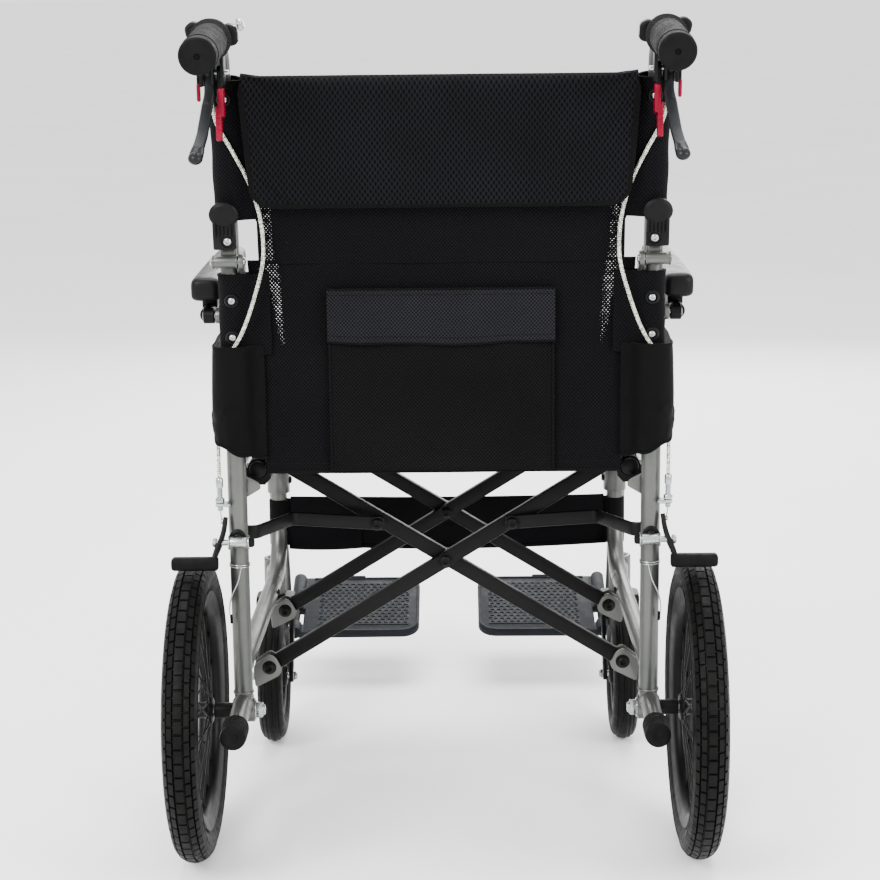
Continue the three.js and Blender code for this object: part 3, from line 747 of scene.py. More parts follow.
def stitches(shape, points, normals, material=None, pitch=4.6, length=3.0, radius=0.45):
    """A row of short threads on a surface."""
    points = [Vector(p) for p in points]
    lengths = np.cumsum([0.0] + [(b - a).length for a, b in zip(points, points[1:])])
    coords = np.array(points)
    for k in range(int(lengths[-1] / pitch)):
        ends = []
        for run in (k * pitch, k * pitch + length):
            ends.append(Vector([float(np.interp(run, lengths, coords[:, i])) for i in range(3)]))
        i = min(int(np.searchsorted(lengths, k * pitch)), len(points) - 1)
        n = Vector(normals[i] if isinstance(normals, list) else normals).normalized()
        t = (ends[1] - ends[0]).normalized()
        s = t.cross(n) * radius
        low, high = -n * radius * 0.6, n * radius
        rings = [[ends[0] + low + s, ends[0] + low - s, ends[0] + n * 0.1 - s * 0.6,
                  ends[0] + n * 0.1 + s * 0.6]]
        for share in (0.3, 0.7):
            mid = ends[0].lerp(ends[1], share)
            rings.append([mid + low + s, mid + low - s, mid + high - s * 0.7, mid + high + s * 0.7])
        rings.append([ends[1] + low + s, ends[1] + low - s, ends[1] + n * 0.1 - s * 0.6,
                      ends[1] + n * 0.1 + s * 0.6])
        shape.skin(rings, material)
    return shape


# ------------------------------------------------------------------ measures of the frame
# Upright tubes and the cable's adjuster stand at (x, y). Pins and axles that lie across are at (y, z).
TUBE_R = 11.1
POST = (239, 0)
STEM = (239, 445)
FOOT_X, FOOT_Z, CROSS_Z = 217, 199, 332
TIP_Z, LINK_Z, RAIL_Z, WHEEL_X = 190, 392, 465, 295
AXLE = (0, 178)
CASTER_AXLE = (390, 89)
ARM_PIVOT = (32, 645)
BRAKE_PIN = (-19, 388)
FOLD_PIN = (-22, 714)
LEVER_PIN = (-70, 925)
ADJUSTER = (258, -13)
FOLD_Z = 713
LEAN = math.radians(10.35)
LEANED = (Matrix.Translation((0, 0, FOLD_Z)) @ Matrix.Rotation(LEAN, 4, "X")
          @ Matrix.Translation((0, 0, -FOLD_Z)))
HANDLE_X, HANDLE_BEND, HANDLE_END = 241, (-78, 964), (-222, 947)
HANDLE_DROP = math.atan2(HANDLE_BEND[1] - HANDLE_END[1], HANDLE_BEND[0] - HANDLE_END[0])
ON_HANDLE = Matrix.Translation((HANDLE_X, *HANDLE_END)) @ Matrix.Rotation(HANDLE_DROP, 4, "X")
BARS_Y = {"rear": {"a": (98, 110), "b": (112, 124)}, "front": {"a": (338, 350), "b": (352, 364)}}
BRACE_ANGLE = math.atan2(CROSS_Z - FOOT_Z, FOOT_X)
BRACE_HALF = math.hypot(CROSS_Z - FOOT_Z, FOOT_X)
PLATE_TURN = Matrix.Translation((228, 677.5, 103)) @ Matrix.Rotation(math.radians(15), 4, "X")
CABLE_ROUTE = [
    (249, -59, 918), (248, -56, 895), (243, -50, 868), (228, -42, 838), (213, -34, 806), (203, -27.3, 772),
    (199, -25, 742), (200, -25, 712), (211, -23, 672), (221, -23, 644), (229, -20.6, 627),
    (239, -16.4, 611), (250, -13.2, 594), (257, -11, 566), (258, -12, 505), (258, -13, 460.6),
]
BACK, AHEAD, OUT, IN, UP = (0, -1, 0), (0, 1, 0), (1, 0, 0), (-1, 0, 0), (0, 0, 1)


# ------------------------------------------------------------------ side frames
def frame_tubes(side, mirror):
    tubes = Shape(SILVER)
    tubes.rod((*POST, 186), (*POST, 712), TUBE_R, sides=32)
    tubes.rod((POST[0], -120, TIP_Z), (POST[0], 12, TIP_Z), TUBE_R, sides=32)
    front = (231, STEM[1])
    loop = [(*POST, 442), (239, 120, 442), (*front, 442), (*front, 232), (*POST, 232)]
    tubes.tube(bend(loop, [1000, 45, 90]), TUBE_R, 32)
    tubes.rod((232, 350, 232), (*STEM, 232), TUBE_R, sides=32)
    tubes.collar(8.6, 15, 192, 243, (*STEM, 0), UP)
    tubes.collar(6.4, 14, 226, 252, (0, *AXLE), OUT)
    for y, z, axis in ((11.4, 442, AHEAD), (11.4, 232, AHEAD), (-11.4, TIP_Z, BACK)):
        tubes.bead((POST[0], y, z), axis, TUBE_R)
    tubes.bead((*POST, 201), UP, TUBE_R, 1.9)
    tubes.bead((238.3, 430.5, 232), AHEAD, TUBE_R)
    tubes.plate(outline_capsule((0, 645), ARM_PIVOT, 9), "YZ", 246, 252)
    tubes.rod((246, *ARM_PIVOT), (261, *ARM_PIVOT), 9)
    tubes.block((239, 284), (306, 334), (430, 440), corner=3)
    tubes.plate(outline_round([(232, 462), (214, 453), (212, 446), (232, 434)], 3), "XZ", 4, 8)
    tubes.block((222, 231), (-10, 0), (698, 711), corner=2)
    tubes.plate(outline_capsule((-22, 714), (-5, 704), 9), "YZ", 221.5, 227)
    tubes.piece(f"frame_tubes_{side}", f"frame_{side}", mirror, [f"side_frame_{side}"], "frame_paint", 0.5)


def frame_fixings(side, mirror):
    parts = Shape(BLACK, ZINC, SILVER, PLASTIC, THREAD)
    cup = [(204, 462), (204, 449), (211, 441), (234, 441), (234, 462), (227.6, 462)]
    cup += arc((FOOT_X, RAIL_Z), 10.4, -0.29, -2.85, 13) + [(206.4, 462)]
    for y in (45, 380):
        parts.plate(cup, "XZ", y, y + 25, PLASTIC, 0)
    bar = "a" if side == "left" else "b"
    bracket = [(237, 201), (218, 216), (209, 212), (201, 196), (205, 188), (235, 173)]
    for row in BARS_Y:
        y0, y1 = BARS_Y[row][bar]
        for low, high in ((y0 - 4, y0 - 1), (y1 + 1, y1 + 4)):
            parts.plate(outline_round(bracket, 5), "XZ", low, high, SILVER, 0.8)
        parts.rod((FOOT_X, y0 - 3, FOOT_Z), (FOOT_X, y1 + 6, FOOT_Z), 4.8, ZINC)
        parts.washer((FOOT_X, y0 - 4, FOOT_Z), BACK, 8.6, 1.3, BLACK)
        parts.bolt((FOOT_X, y0 - 5.2, FOOT_Z), BACK, 7.2, 5, BLACK)
        parts.nut((FOOT_X, y1 + 4, FOOT_Z), AHEAD, 7.8, 5.5, ZINC)
    parts.rod((POST[0], -12, LINK_Z), (POST[0], 20, LINK_Z), 4.3, ZINC)
    parts.lathe([(9.5, -10.4), (9.8, -12.5), (8.2, -13.6), (0.01, -13.6)], (*POST, LINK_Z), AHEAD, 24, BLACK)
    parts.bolt((POST[0], -13.2, LINK_Z), BACK, 6.4, 4.6, BLACK)
    parts.nut((POST[0], 18.6, LINK_Z), AHEAD, 7, 3.4, ZINC)
    parts.rod((227.5, *BRAKE_PIN), (247.5, *BRAKE_PIN), 6.5, ZINC)
    parts.rod((220, *BRAKE_PIN), (266, *BRAKE_PIN), 3.4, ZINC)
    parts.washer((226.6, *BRAKE_PIN), IN, 8.2, 1.6, ZINC)
    parts.nut((225, *BRAKE_PIN), IN, 6.5, 4.4, BLACK)
    parts.washer((247.6, *BRAKE_PIN), OUT, 8.4, 1.6, ZINC)
    parts.nut((262.8, *BRAKE_PIN), OUT, 6.2, 3.4, ZINC)
    parts.block((246, 263), (-19, -5), (430, 434), ZINC, 3)
    parts.rod((221, *FOLD_PIN), (258.5, *FOLD_PIN), 3.4, ZINC)
    parts.bolt((221.6, *FOLD_PIN), IN, 5.2, 2.4, ZINC, False)
    parts.rod((260, *ARM_PIVOT), (276, *ARM_PIVOT), 4.9, ZINC)
    parts.bolt((226.9, 250, 442), IN, 4.2, 2.4, BLACK)
    parts.bolt((222.6, 300, 235), IN, 4.2, 2.4, BLACK)
    parts.lathe([(0.01, 243.6), (9, 243.4), (12.6, 242), (13.4, 239), (12, 239)], (*STEM, 0), UP, 24, PLASTIC)
    for z in (355.5, 358):
        parts.lathe(arc((TUBE_R + 0.6, z), 0.7, 0, 6.283, 8)[:-1], (*POST, 0), UP, 28, ZINC, loop=True)
    tail = smooth_path([(236, -12.6, 357), (240, -16, 340), (248, -17, 322), (251, -15, 304),
                        (249, -14, 292)], 20)
    parts.tube(tail, 0.8, 8, ZINC, 0.2)
    parts.rod((249.4, -14.2, 300), (249, -14, 289), 1.7, THREAD, 12)
    parts.piece(f"frame_fixings_{side}", f"frame_{side}", mirror, slot="zinc", bevel=0.25)


def tip_cap(side, mirror):
    cap = Shape(CAP)
    cap.lathe([(11.3, -92), (14.2, -92), (15, -93.5), (15, -126), (14.2, -130), (12.4, -131.4), (6, -131.7),
               (5.4, -130.9), (0.01, -130.9), (0.01, -121), (11.3, -121)], (*POST, TIP_Z), AHEAD, 36)
    for k in range(5):
        y = -96 - k * 5.5
        cap.lathe([(14.9, y), (15.35, y - 0.6), (15.35, y - 2.4), (14.9, y - 3)], (*POST, TIP_Z), AHEAD, 36)
    cap.piece(f"tip_cap_{side}", f"frame_{side}", mirror, [f"rear_tip_cap_{side}"], "rubber_cap", 0.3)


def rear_axle(side, mirror):
    axle = Shape(ZINC, BLACK)
    axle.rod((214, *AXLE), (318, *AXLE), 5.9)
    axle.collar(5.9, 9, 250.6, 274.2, (0, *AXLE), OUT, 28, BLACK, (0.6, 0.6))
    axle.washer((226, *AXLE), IN, 11.5, 1.6)
    axle.nut((224.4, *AXLE), IN, 10.2, 7.5, dome=3.2)
    axle.washer((314, *AXLE), OUT, 9.5, 1.4)
    axle.nut((315.2, *AXLE), OUT, 8.8, 4.6)
    axle.piece(f"axle_{side}", f"frame_{side}", mirror, [f"rear_axle_{side}"], "zinc", 0.3)


def hanger(side, mirror):
    shape = Shape(SILVER, BLACK, PLASTIC)
    shape.collar(11.6, 15.5, 336, 370, (231, 445, 0), UP, ease=(0.7, 1))
    route = bend([(234, 458, 353), (242, 495, 353), (242, 605, 210), (242, 644, 92)], 40)
    shape.tube(route, 9.5, 28, SILVER)
    shape.bead((236.3, 468, 353), (0.21, 0.97, 0), 9.4, 1.5, SILVER)
    shape.bolt((216, 445, 353), IN, 5.4, 3.4, BLACK)
    shape.lathe([(9.4, 0), (10.2, 1), (10.2, 9), (8.6, 11.5), (0.01, 12)],
                (242, 641.8, 98), (0, 0.31, -0.95), 24, PLASTIC)
    rod = Shape(BLACK).rod((0, -80, 0), (0, 80, 0), 5.9)
    for end, axis in ((-80, BACK), (80, AHEAD)):
        rod.bolt((0, end, 0), axis, 7.4, 3.2)
    rod.moved(PLATE_TURN)
    shape.add(rod.verts, rod.faces, BLACK)
    shape.piece(f"hanger_{side}", f"frame_{side}", mirror, [f"footrest_hanger_{side}"], "frame_paint", 0.4)


def dimples(slab, x0, y0, across, down, lines):
    """Rows of dished pits in the top of a footplate, set between each other."""
    top, pit, under = 3.0, 0.4, -1.0
    for row in range(lines):
        shift = row % 2
        for column in range(lines - shift):
            cx = x0 + (shift / 2 + column + 0.5) * across
            cy = y0 + (row + 0.5) * down
            ring = [(1, 0), (1, 1), (0, 1), (-1, 1), (-1, 0), (-1, -1), (0, -1), (1, -1)]
            outer = [(cx + across / 2 * a, cy + down / 2 * b) for a, b in ring]
            inner = [(cx + 3.1 * math.cos(t), cy + 2.5 * math.sin(t)) for t in turns(8)]
            verts = [(x, y, top) for x, y in outer] + [(x, y, top) for x, y in inner]
            verts += [(cx + (x - cx) * 0.8, cy + (y - cy) * 0.8, pit) for x, y in inner]
            verts += [(x, y, under) for x, y in outer]
            faces = [tuple(16 + i for i in range(8)), tuple(24 + i for i in reversed(range(8)))]
            for i in range(8):
                j = (i + 1) % 8
                faces += [(i, j, 8 + j, 8 + i), (8 + i, 8 + j, 16 + j, 16 + i), (24 + i, 24 + j, j, i)]
            slab.add(verts, faces)


def footplate(side, mirror):
    width, half, corner = 184, 78, 26
    slab = Shape(PLATE_GREY, BLACK)
    outline = [(-11, -half), (-11, half)]
    for turn, y in ((math.pi / 2, half - corner), (math.pi, corner - half)):
        outline += arc((corner - width, y), corner, turn, turn + math.pi / 2, 9)
    slab.plate(outline, "XY", -9, 2, ease=2.2)
    rim = [Vector((x * 0.968 - 3.2, y * 0.95, 1.4)) for x, y in outline[2:]]
    ribbon(slab, smooth_path([(-22, 74, 1.4), *rim, (-22, -74, 1.4)], 70), UP, 4.2, 4.0)
    for y0, y1 in ((-half, -54), (-14, half)):
        slab.rod((0, y0 + 0.3, 0), (0, y1 - 0.3, 0), 9.9)
    slab.block((-14, -6), (-half + 0.5, -55), (-9, 2), corner=1.5)
    slab.block((-14, -6), (-13, half - 0.5), (-9, 2), corner=1.5)
    slab.block((-100, -76), (half - 3, half + 1.5), (-6, 4.4), corner=3)
    for x in range(-170, -30, 28):
        slab.block((x, x + 3), (-66, 66), (-12.5, -8), corner=1)
    dimples(slab, -168, -59, 9.6, 8.4, 14)
    slab.moved(PLATE_TURN)
    slab.piece(f"plate_{side}", f"footplate_{side}", mirror, [f"footplate_{side}"], "grey_plastic", 0.3)


# ------------------------------------------------------------------ wheels
def rear_tyre(side, mirror):
    # lines are distances round the tyre's section from the middle of its tread, and kinds says what stands
    # there: a block of row A or B, a groove, the wall or a ridge on it. The rows take turns along the tyre.
    count, depth, ring, section = 68, 2.5, 157, 21
    lines = [0, 4.6, 5.2, 6.5, 7.1, 13.4, 14.0, 15.1, 15.7,
             21.4, 22.4, 27, 31, 31.8, 33.4, 34.2, 42, 54, 65.97]
    kinds = ["A", "A", "-", "-", "B", "B", "-", "-", "A", "A", "w", "w", "w", "r", "r", "w", "w", "w", "w"]
    lines = [-s for s in reversed(lines[1:])] + lines[:-1]
    kinds = list(reversed(kinds[1:])) + kinds[:-1]
    stops = [(0.04, "B"), (0.09, "AB"), (0.41, "AB"), (0.46, "A"),
             (0.54, "A"), (0.59, "AB"), (0.91, "AB"), (0.96, "B")]
    verts, faces = [], []
    for k in range(count):
        for share, solid in stops:
            turn = 2 * math.pi * (k + share) / count
            for s, kind in zip(lines, kinds):
                size = section
                if kind == "w":
                    size -= 0.9
                elif kind == "r":
                    size -= 0.2
                elif kind not in solid:
                    size -= depth
                phi = s / section
                radius = ring + size * math.cos(phi)
                verts.append((WHEEL_X + size * math.sin(phi), radius * math.sin(turn),
                              178 + radius * math.cos(turn)))
    n, total = len(lines), count * len(stops)
    for k in range(total):
        q = (k + 1) % total
        for i in range(n):
            j = (i + 1) % n
            faces.append((k * n + i, k * n + j, q * n + j, q * n + i))
    shape = Shape(TYRE).add(verts, faces)
    shape.piece(f"tread_{side}", f"rear_wheel_{side}", mirror, [f"rear_tyre_{side}"], "tyre_rubber", sharp=28)


def rear_wheel(side, mirror):
    shape = Shape(GLOSS, BLACK)
    half = [(121.6, 0), (121.8, 6), (123.5, 11), (128, 14), (137, 16), (140.4, 17.4), (141.4, 16.8),
            (140.6, 15),
            (136.4, 12), (135.6, 8)]
    profile = both_ways(half + [(135.6, 0)])[:-1]
    shape.lathe(profile, (WHEEL_X, *AXLE), OUT, 120, GLOSS, loop=True)
    hub = [(6.7, 19.5), (13.5, 19.5), (15.8, 18), (15.8, 14.5), (11.5, 12.5), (9.5, 9), (9.5, 0)]
    shape.lathe(both_ways(hub), (WHEEL_X, *AXLE), OUT, 48, BLACK, loop=True)
    for k in range(36):
        rim = 2 * math.pi * k / 36
        flange = 1 if k % 2 else -1
        foot = rim + (0.95 if k % 4 < 2 else -0.95)
        a = Vector((WHEEL_X + 16 * flange, 14 * math.sin(foot), 178 + 14 * math.cos(foot)))
        b = Vector((WHEEL_X + 2.5 * flange, 122.6 * math.sin(rim), 178 + 122.6 * math.cos(rim)))
        shape.tube([a, b], 1.15, 8, BLACK, 0)
        shape.tube([b + (a - b).normalized() * 9, b], 2.1, 8, BLACK, 0.3)
    shape.piece(f"wheel_{side}", f"rear_wheel_{side}", mirror, [f"rear_wheel_{side}"], "black_gloss", 0.0)


def caster_fork(side, mirror):
    fork = Shape(BLACK, ZINC)
    fork.rod((*STEM, 178), (*STEM, 236), 7.9, ZINC)
    fork.block((213, 265), (425, 462), (180, 190), BLACK, 8)
    for x0, x1, sign in ((213, 218, -1), (260, 265, 1)):
        leg = arc(CASTER_AXLE, 9, 2.65, 5.78, 12)
        leg += [(461, 182), (461, 188), (427, 188), (427, 176)]
        fork.plate(leg, "YZ", x0, x1, BLACK, 0.8)
        x = x0 if sign < 0 else x1
        fork.washer((x, *CASTER_AXLE), (sign, 0, 0), 7.5, 1.2, ZINC)
        fork.nut((x + sign * 1.2, *CASTER_AXLE), (sign, 0, 0), 6.4, 3, ZINC)
    fork.rod((212, *CASTER_AXLE), (266, *CASTER_AXLE), 3.9, ZINC)
    fork.lathe([(8.2, 190.6), (13, 190.6), (13.4, 191.6), (8.2, 191.8)], (*STEM, 0), UP, 24, ZINC)
    fork.piece(f"fork_{side}", f"caster_swivel_{side}", mirror, [f"caster_fork_{side}"], "black_paint", 0.5)


def caster_tyre(side, mirror):
    tyre = Shape(TYRE)
    section = 17
    rounds = []
    for t in turns(48):
        size = section
        s = section * (t if t <= math.pi else t - 2 * math.pi)
        if 3.2 < abs(s) < 5.4 or 11 < abs(s) < 13:
            size -= 1.3
        rounds.append((72 + size * math.cos(t), size * math.sin(t)))
    tyre.lathe(rounds, (239, *CASTER_AXLE), OUT, 96, loop=True)
    tyre.piece(f"caster_tread_{side}", f"caster_wheel_{side}", mirror, [f"caster_tyre_{side}"], "tyre_rubber")


def caster_rim(side, mirror):
    rim = Shape(PLASTIC)
    half = [(45, 0), (45.5, 6), (48, 11), (55.5, 12.6), (57, 11.6), (56.4, 8)]
    profile = both_ways(half + [(56, 0)])[:-1]
    rim.lathe(profile, (239, *CASTER_AXLE), OUT, 72, loop=True)
    hub = [(4.8, 18), (11, 18), (14, 16.4), (15, 12), (15, 0)]
    rim.lathe(both_ways(hub), (239, *CASTER_AXLE), OUT, 40, loop=True)
    centre = Vector((STEM[0], *CASTER_AXLE))
    for turn in turns(5):
        along = Vector((0, math.sin(turn), math.cos(turn)))
        across = Vector((0, math.cos(turn), -math.sin(turn)))
        rings = []
        for radius, wide, deep in ((12, 8.5, 9), (22, 5.6, 7.5), (34, 5.2, 7), (42, 6.2, 8), (47, 9.5, 9.5)):
            spoke = centre + along * radius
            rings.append([spoke + across * (wide * math.cos(a)) + Vector(OUT) * (deep * math.sin(a))
                          for a in turns(12)])
        rim.skin(rings)
    rim.piece(f"caster_rim_{side}_spoked", f"caster_wheel_{side}",
              mirror, [f"caster_rim_{side}"], "black_plastic", 0.4)


# ------------------------------------------------------------------ folding brace
def on_bar(name, u, v, y):
    x = u * math.cos(BRACE_ANGLE) - v * math.sin(BRACE_ANGLE)
    z = CROSS_Z + u * math.sin(BRACE_ANGLE) + v * math.cos(BRACE_ANGLE)
    return Vector((x if name == "a" else -x, y, z))


def cross_bar(name, row):
    y0, y1 = BARS_Y[row][name]
    shape = Shape(BLACK, ZINC)
    top, foot = BRACE_HALF - 10.3, -BRACE_HALF
    outline = [(top, -9), (top, 9)] + arc((foot, 0), 9, 1.57, 4.71, 11)
    rings = []
    for along, inset in ((y0, 1.6), (y0 + 0.45, 0.55), (y0 + 1.6, 0), (y1 - 1.6, 0), (y1 - 0.45, 0.55),
                         (y1, 1.6)):
        ring = []
        for u, v in outline:
            v2 = v * (9 - inset) / 9
            u2 = u - inset if u > 0 else u + inset * 0.6
            ring.append(on_bar(name, u2, v2, along))
        rings.append(ring)
    shape.skin(rings, BLACK)
    bead_at = on_bar(name, BRACE_HALF - 10.8, 0, (y0 + y1) / 2)
    direction = on_bar(name, 1, 0, 0) - on_bar(name, 0, 0, 0)
    shape.bead(bead_at, direction, 7.2, 1.8, BLACK)
    if name == "a":
        y_end = BARS_Y[row]["b"][1]
        shape.rod((0, y0 - 2, CROSS_Z), (0, y_end + 7, CROSS_Z), 4.9, ZINC)
        shape.washer((0, y0, CROSS_Z), BACK, 9.6, 1.5, BLACK)
        shape.bolt((0, y0 - 1.4, CROSS_Z), BACK, 7.6, 4.6, BLACK)
        shape.washer((0, y_end, CROSS_Z), AHEAD, 9.2, 1.4, ZINC)
        shape.nut((0, y_end + 1.6, CROSS_Z), AHEAD, 7.8, 5.2, ZINC)
    shape.piece(f"brace_bar_{name}_{row}", f"cross_{name}", 1, [f"cross_bar_{name}_{row}"], "black_paint")


def seat_rail(side, mirror):
    shape = Shape(SILVER, PLASTIC)
    shape.rod((FOOT_X, 20, RAIL_Z), (FOOT_X, 428, RAIL_Z), 9.9, SILVER, 28)
    for y, way in ((20, -1), (428, 1)):
        profile = [(8.6, 0), (9.9, 0), (10.2, way * 0.8), (9.8, way * 2.6), (7, way * 4.6), (0.01, way * 5.2)]
        shape.lathe(profile, (FOOT_X, y - way * 2.6, RAIL_Z), AHEAD, 28, PLASTIC)
    body = "cross_b" if side == "left" else "cross_a"
    shape.piece(f"rail_{side}", body, mirror, [f"seat_rail_{side}"], "frame_paint", 0.2)


def link_arm(side, mirror):
    reach, drop = 157.9, 10.3
    length = math.hypot(reach, drop)
    turn = Matrix.Translation((*POST, LINK_Z)) @ Matrix.Rotation(-math.atan2(drop, reach), 4, "Y")
    near = BARS_Y["rear"]["b" if side == "left" else "a"][0]
    shape = Shape(BLACK, ZINC)
    route = bend([(8, 15.5, 0), (-18, 15.5, 0), (-56, 90, 0), (-length - 7.4, 90, 0)], 14, 8)
    normals = [Vector((-t.y, t.x, 0)).normalized() for t in neighbours(route)]
    ribbon(shape, route, normals, 17, 5, BLACK)
    shape.washer((-length, 87.4, 0), BACK, 9, 1.3, BLACK)
    shape.bolt((-length, 86.2, 0), BACK, 7.4, 4.4, BLACK)
    shape.rod((-length, 88, 0), (-length, near - 0.6, 0), 4.9, BLACK)
    shape.washer((0, 13, 0), BACK, 8.5, 1, BLACK)
    shape.moved(turn)
    shape.piece(f"link_strap_{side}", f"link_{side}", mirror, [f"link_arm_{side}"], "black_paint", 0.3)


# ------------------------------------------------------------------ handles
def upper_post(side, mirror):
    post = Shape(SILVER, ZINC)
    route = [(POST[0], (FOLD_Z - z) * math.tan(LEAN), z) for z in (715, 945)]
    route += [(HANDLE_X, *HANDLE_BEND), (HANDLE_X, *HANDLE_END)]
    post.tube(bend(route, 32), TUBE_R, 32, SILVER)
    post.rod((228, *FOLD_PIN), (256.8, *FOLD_PIN), 7.2, SILVER)
    for x in (228, 254.6):
        post.lathe([(7.0, x), (7.8, x + 0.3), (7.8, x + 1.9), (7.0, x + 2.2)],
                   (0, *FOLD_PIN), OUT, 28, SILVER)
    post.block((230, 248), (-17.5, -4), (714, 728), SILVER, 3)
    post.bolt((257, *FOLD_PIN), OUT, 5, 2.4, ZINC)
    post.piece(f"post_{side}", f"back_fold_{side}", mirror, [f"upper_post_{side}"], "frame_paint", 0.4)


def hand_grip(side, mirror):
    grip = Shape(GRIP_KNURL, CAP, HOLE_SHADE)
    grip.lathe([(12.2, 119), (21.4, 118.2), (22.4, 117), (22.4, 113.4), (21, 112), (19.4, 110.6), (19.4, 8),
                (18.9, 4.6)], (0, 0, 0), AHEAD, 48, GRIP_KNURL)
    grip.lathe([(18.2, 7), (19.7, 5.4), (19.8, 0.6), (19.2, -2.6), (17.4, -3.9), (3.4, -4.1), (2.8, -3.4),
                (2.6, 2.2), (0.01, 2.4)], (0, 0, 0), AHEAD, 48, CAP)
    # The near-black disc in the end hole is painted shade for the hole's dark inside.
    grip.rod((0, -4.3, 0), (0, -3.2, 0), 2.7, HOLE_SHADE, 16, 0.1)
    for y in (14, 104):
        grip.lathe([(19.3, y), (20.1, y + 0.8), (20.1, y + 2.2), (19.3, y + 3)], (0, 0, 0), AHEAD, 48, CAP)
    grip.moved(ON_HANDLE)
    grip.piece(f"grip_{side}", f"back_fold_{side}", mirror, [f"hand_grip_{side}"], "grip_rubber", sharp=34)


def lever_clamp(side, mirror):
    clamp = Shape(PLASTIC, ZINC, BLACK)
    ring = Shape(PLASTIC)
    ring.collar(11.5, 19.4, 122, 140, (0, 0, 0), AHEAD, 40, ease=(1, 1))
    inner = outline_round([(-12, -8), (-12, 13), (-19, 15.5), (-27.5, 11), (-28.5, -6), (-20, -9)], 5)
    outer = outline_round([(13, -3), (26, -1), (28.5, 12), (20, 18), (11, 15)], 5)
    for ear in (inner, outer):
        ring.plate(ear, "XZ", 123.5, 138.5, ease=2.2)
    ring.moved(ON_HANDLE)
    clamp.add(ring.verts, ring.faces, PLASTIC)
    if side == "left":
        head = ON_HANDLE @ Vector((-22, 131, 11))
        clamp.rod(head, head + Vector((-10, 0, 2)), 3.2, ZINC)
        clamp.nut(head + Vector((-6, 0, 1.4)), (-0.95, 0, 0.3), 7.2, 5.4, ZINC)
    for x0, x1 in ((230.6, 234.2), (241.4, 244.4), (253.6, 257)):
        cheek = outline_round([(-84, 910), (-62, 910), (-58, 962), (-84, 962)], 6)
        clamp.plate(cheek, "YZ", x0, x1, PLASTIC, 0.7)
    clamp.plate(outline_round([(-84, 943), (-62, 943), (-60, 964), (-86, 962)], 5),
                "YZ", 230.6, 259, PLASTIC, 1.2)
    clamp.rod((226, *LEVER_PIN), (256.8, *LEVER_PIN), 2.9, ZINC)
    clamp.bolt((257, *LEVER_PIN), OUT, 5, 2.6, BLACK)
    clamp.piece(f"clamp_{side}", f"back_fold_{side}", mirror, [f"lever_clamp_{side}"], "black_plastic", 0.4)


def brake_lever(side, mirror):
    lever = Shape(GREY_METAL, BLACK)
    path = smooth_path(bend([(249, *LEVER_PIN), (246.5, -84, 902), (250, -128, 862), (254.5, -165, 838)],
                            30, 8), 30)
    widths = [8.0 + 4.6 * min(1, i / 10) for i in range(24)] + [13.2, 14.2, 15.2, 15.6, 14.4, 9.0]
    normals = [Vector((0, -t.z, t.y)).normalized() for t in neighbours(path)]
    ribbon(lever, path, normals, widths, 6.2, GREY_METAL)
    spine = [p + n * 2.6 for p, n in zip(path[3:26], normals[3:26])]
    ribbon(lever, spine, normals[3:26], 4.6, 3.2, BLACK)
    tip = path[-2]
    bulb = [(7.9 * math.sin(t), -6.4 * math.cos(t)) for t in np.linspace(0.02, math.pi - 0.02, 14)]
    lever.lathe(bulb, tip, normals[-2], 26, GREY_METAL)
    lever.collar(3.2, 8, 245.2, 252.8, (0, *LEVER_PIN), OUT, 28, GREY_METAL, (0.6, 0.8))
    lever.piece(f"lever_{side}", f"brake_lever_{side}", mirror, [f"brake_lever_{side}"], "black_paint", 0.4)


def parking_catch(side, mirror):
    catch = Shape(RED, ZINC, PLASTIC)
    catch.plate(outline_capsule((-69, 905), LEVER_PIN, 7.5), "YZ", 233.2, 239, PLASTIC, 1.1)
    catch.plate(outline_round([(-76, 878), (-61, 876), (-62, 909), (-77.4, 909)], 3),
                "YZ", 232.2, 238.6, RED, 1.2)
    catch.plate(outline_round([(-76, 852), (-64, 851), (-61, 889), (-76, 890)], 4),
                "YZ", 235.4, 241.6, RED, 1.2)
    for z in (862, 868, 874):
        catch.block((236, 241), (-77, -74), (z, z + 2.4), RED, 1)
    catch.plate(outline_capsule((-70, 914), LEVER_PIN, 5), "YZ", 258, 260.8, PLASTIC, 0.6)
    catch.plate(outline_round([(-75, 894), (-65, 894), (-64, 914), (-76, 914)], 3),
                "YZ", 257.6, 261.2, RED, 1)
    catch.rod((233, *LEVER_PIN), (261, *LEVER_PIN), 2.6, ZINC, 16)
    catch.bolt((233.4, *LEVER_PIN), IN, 4.4, 2.4, ZINC)
    catch.piece(f"catch_{side}", f"parking_catch_{side}", mirror,
                [f"parking_catch_{side}"], "red_plastic", 0.5)


def back_latch(side, mirror):
    latch = Shape(PLASTIC, ZINC)
    latch.block((228, 254), (-29, -18.5), (728, 752), PLASTIC, 3)
    for k in range(6):
        x = 228.6 + k * 4.2
        latch.block((x, x + 2.3), (-31, -28), (744, 764), PLASTIC, 1)
    latch.block((228, 254), (-29, -19.5), (750, 764), PLASTIC, 3)
    thumb = []
    for y, inset in ((-23.2, 1.5), (-24.4, 0), (-28.2, 0), (-30.4, 2.4), (-31, 6)):
        thumb.append([Vector((240.5 + (16.6 - inset) * math.cos(t), y,
                              768 + (14.5 - inset) * math.sin(t))) for t in turns(32)])
    latch.skin(thumb, PLASTIC)
    latch.lathe([(8.2, 0), (8.4, 1.2), (7.2, 2), (6.8, 0.6), (0.01, 0.5)],
                (237.5, -28.8, 738), BACK, 24, PLASTIC)
    latch.bolt((237.5, -29.4, 738), BACK, 4.8, 3, ZINC)
    latch.moved(LEANED @ Matrix.Translation((0, 0, 6)))
    latch.piece(f"latch_{side}", f"back_latch_{side}", mirror, [f"back_latch_{side}"], "black_plastic", 0.5)


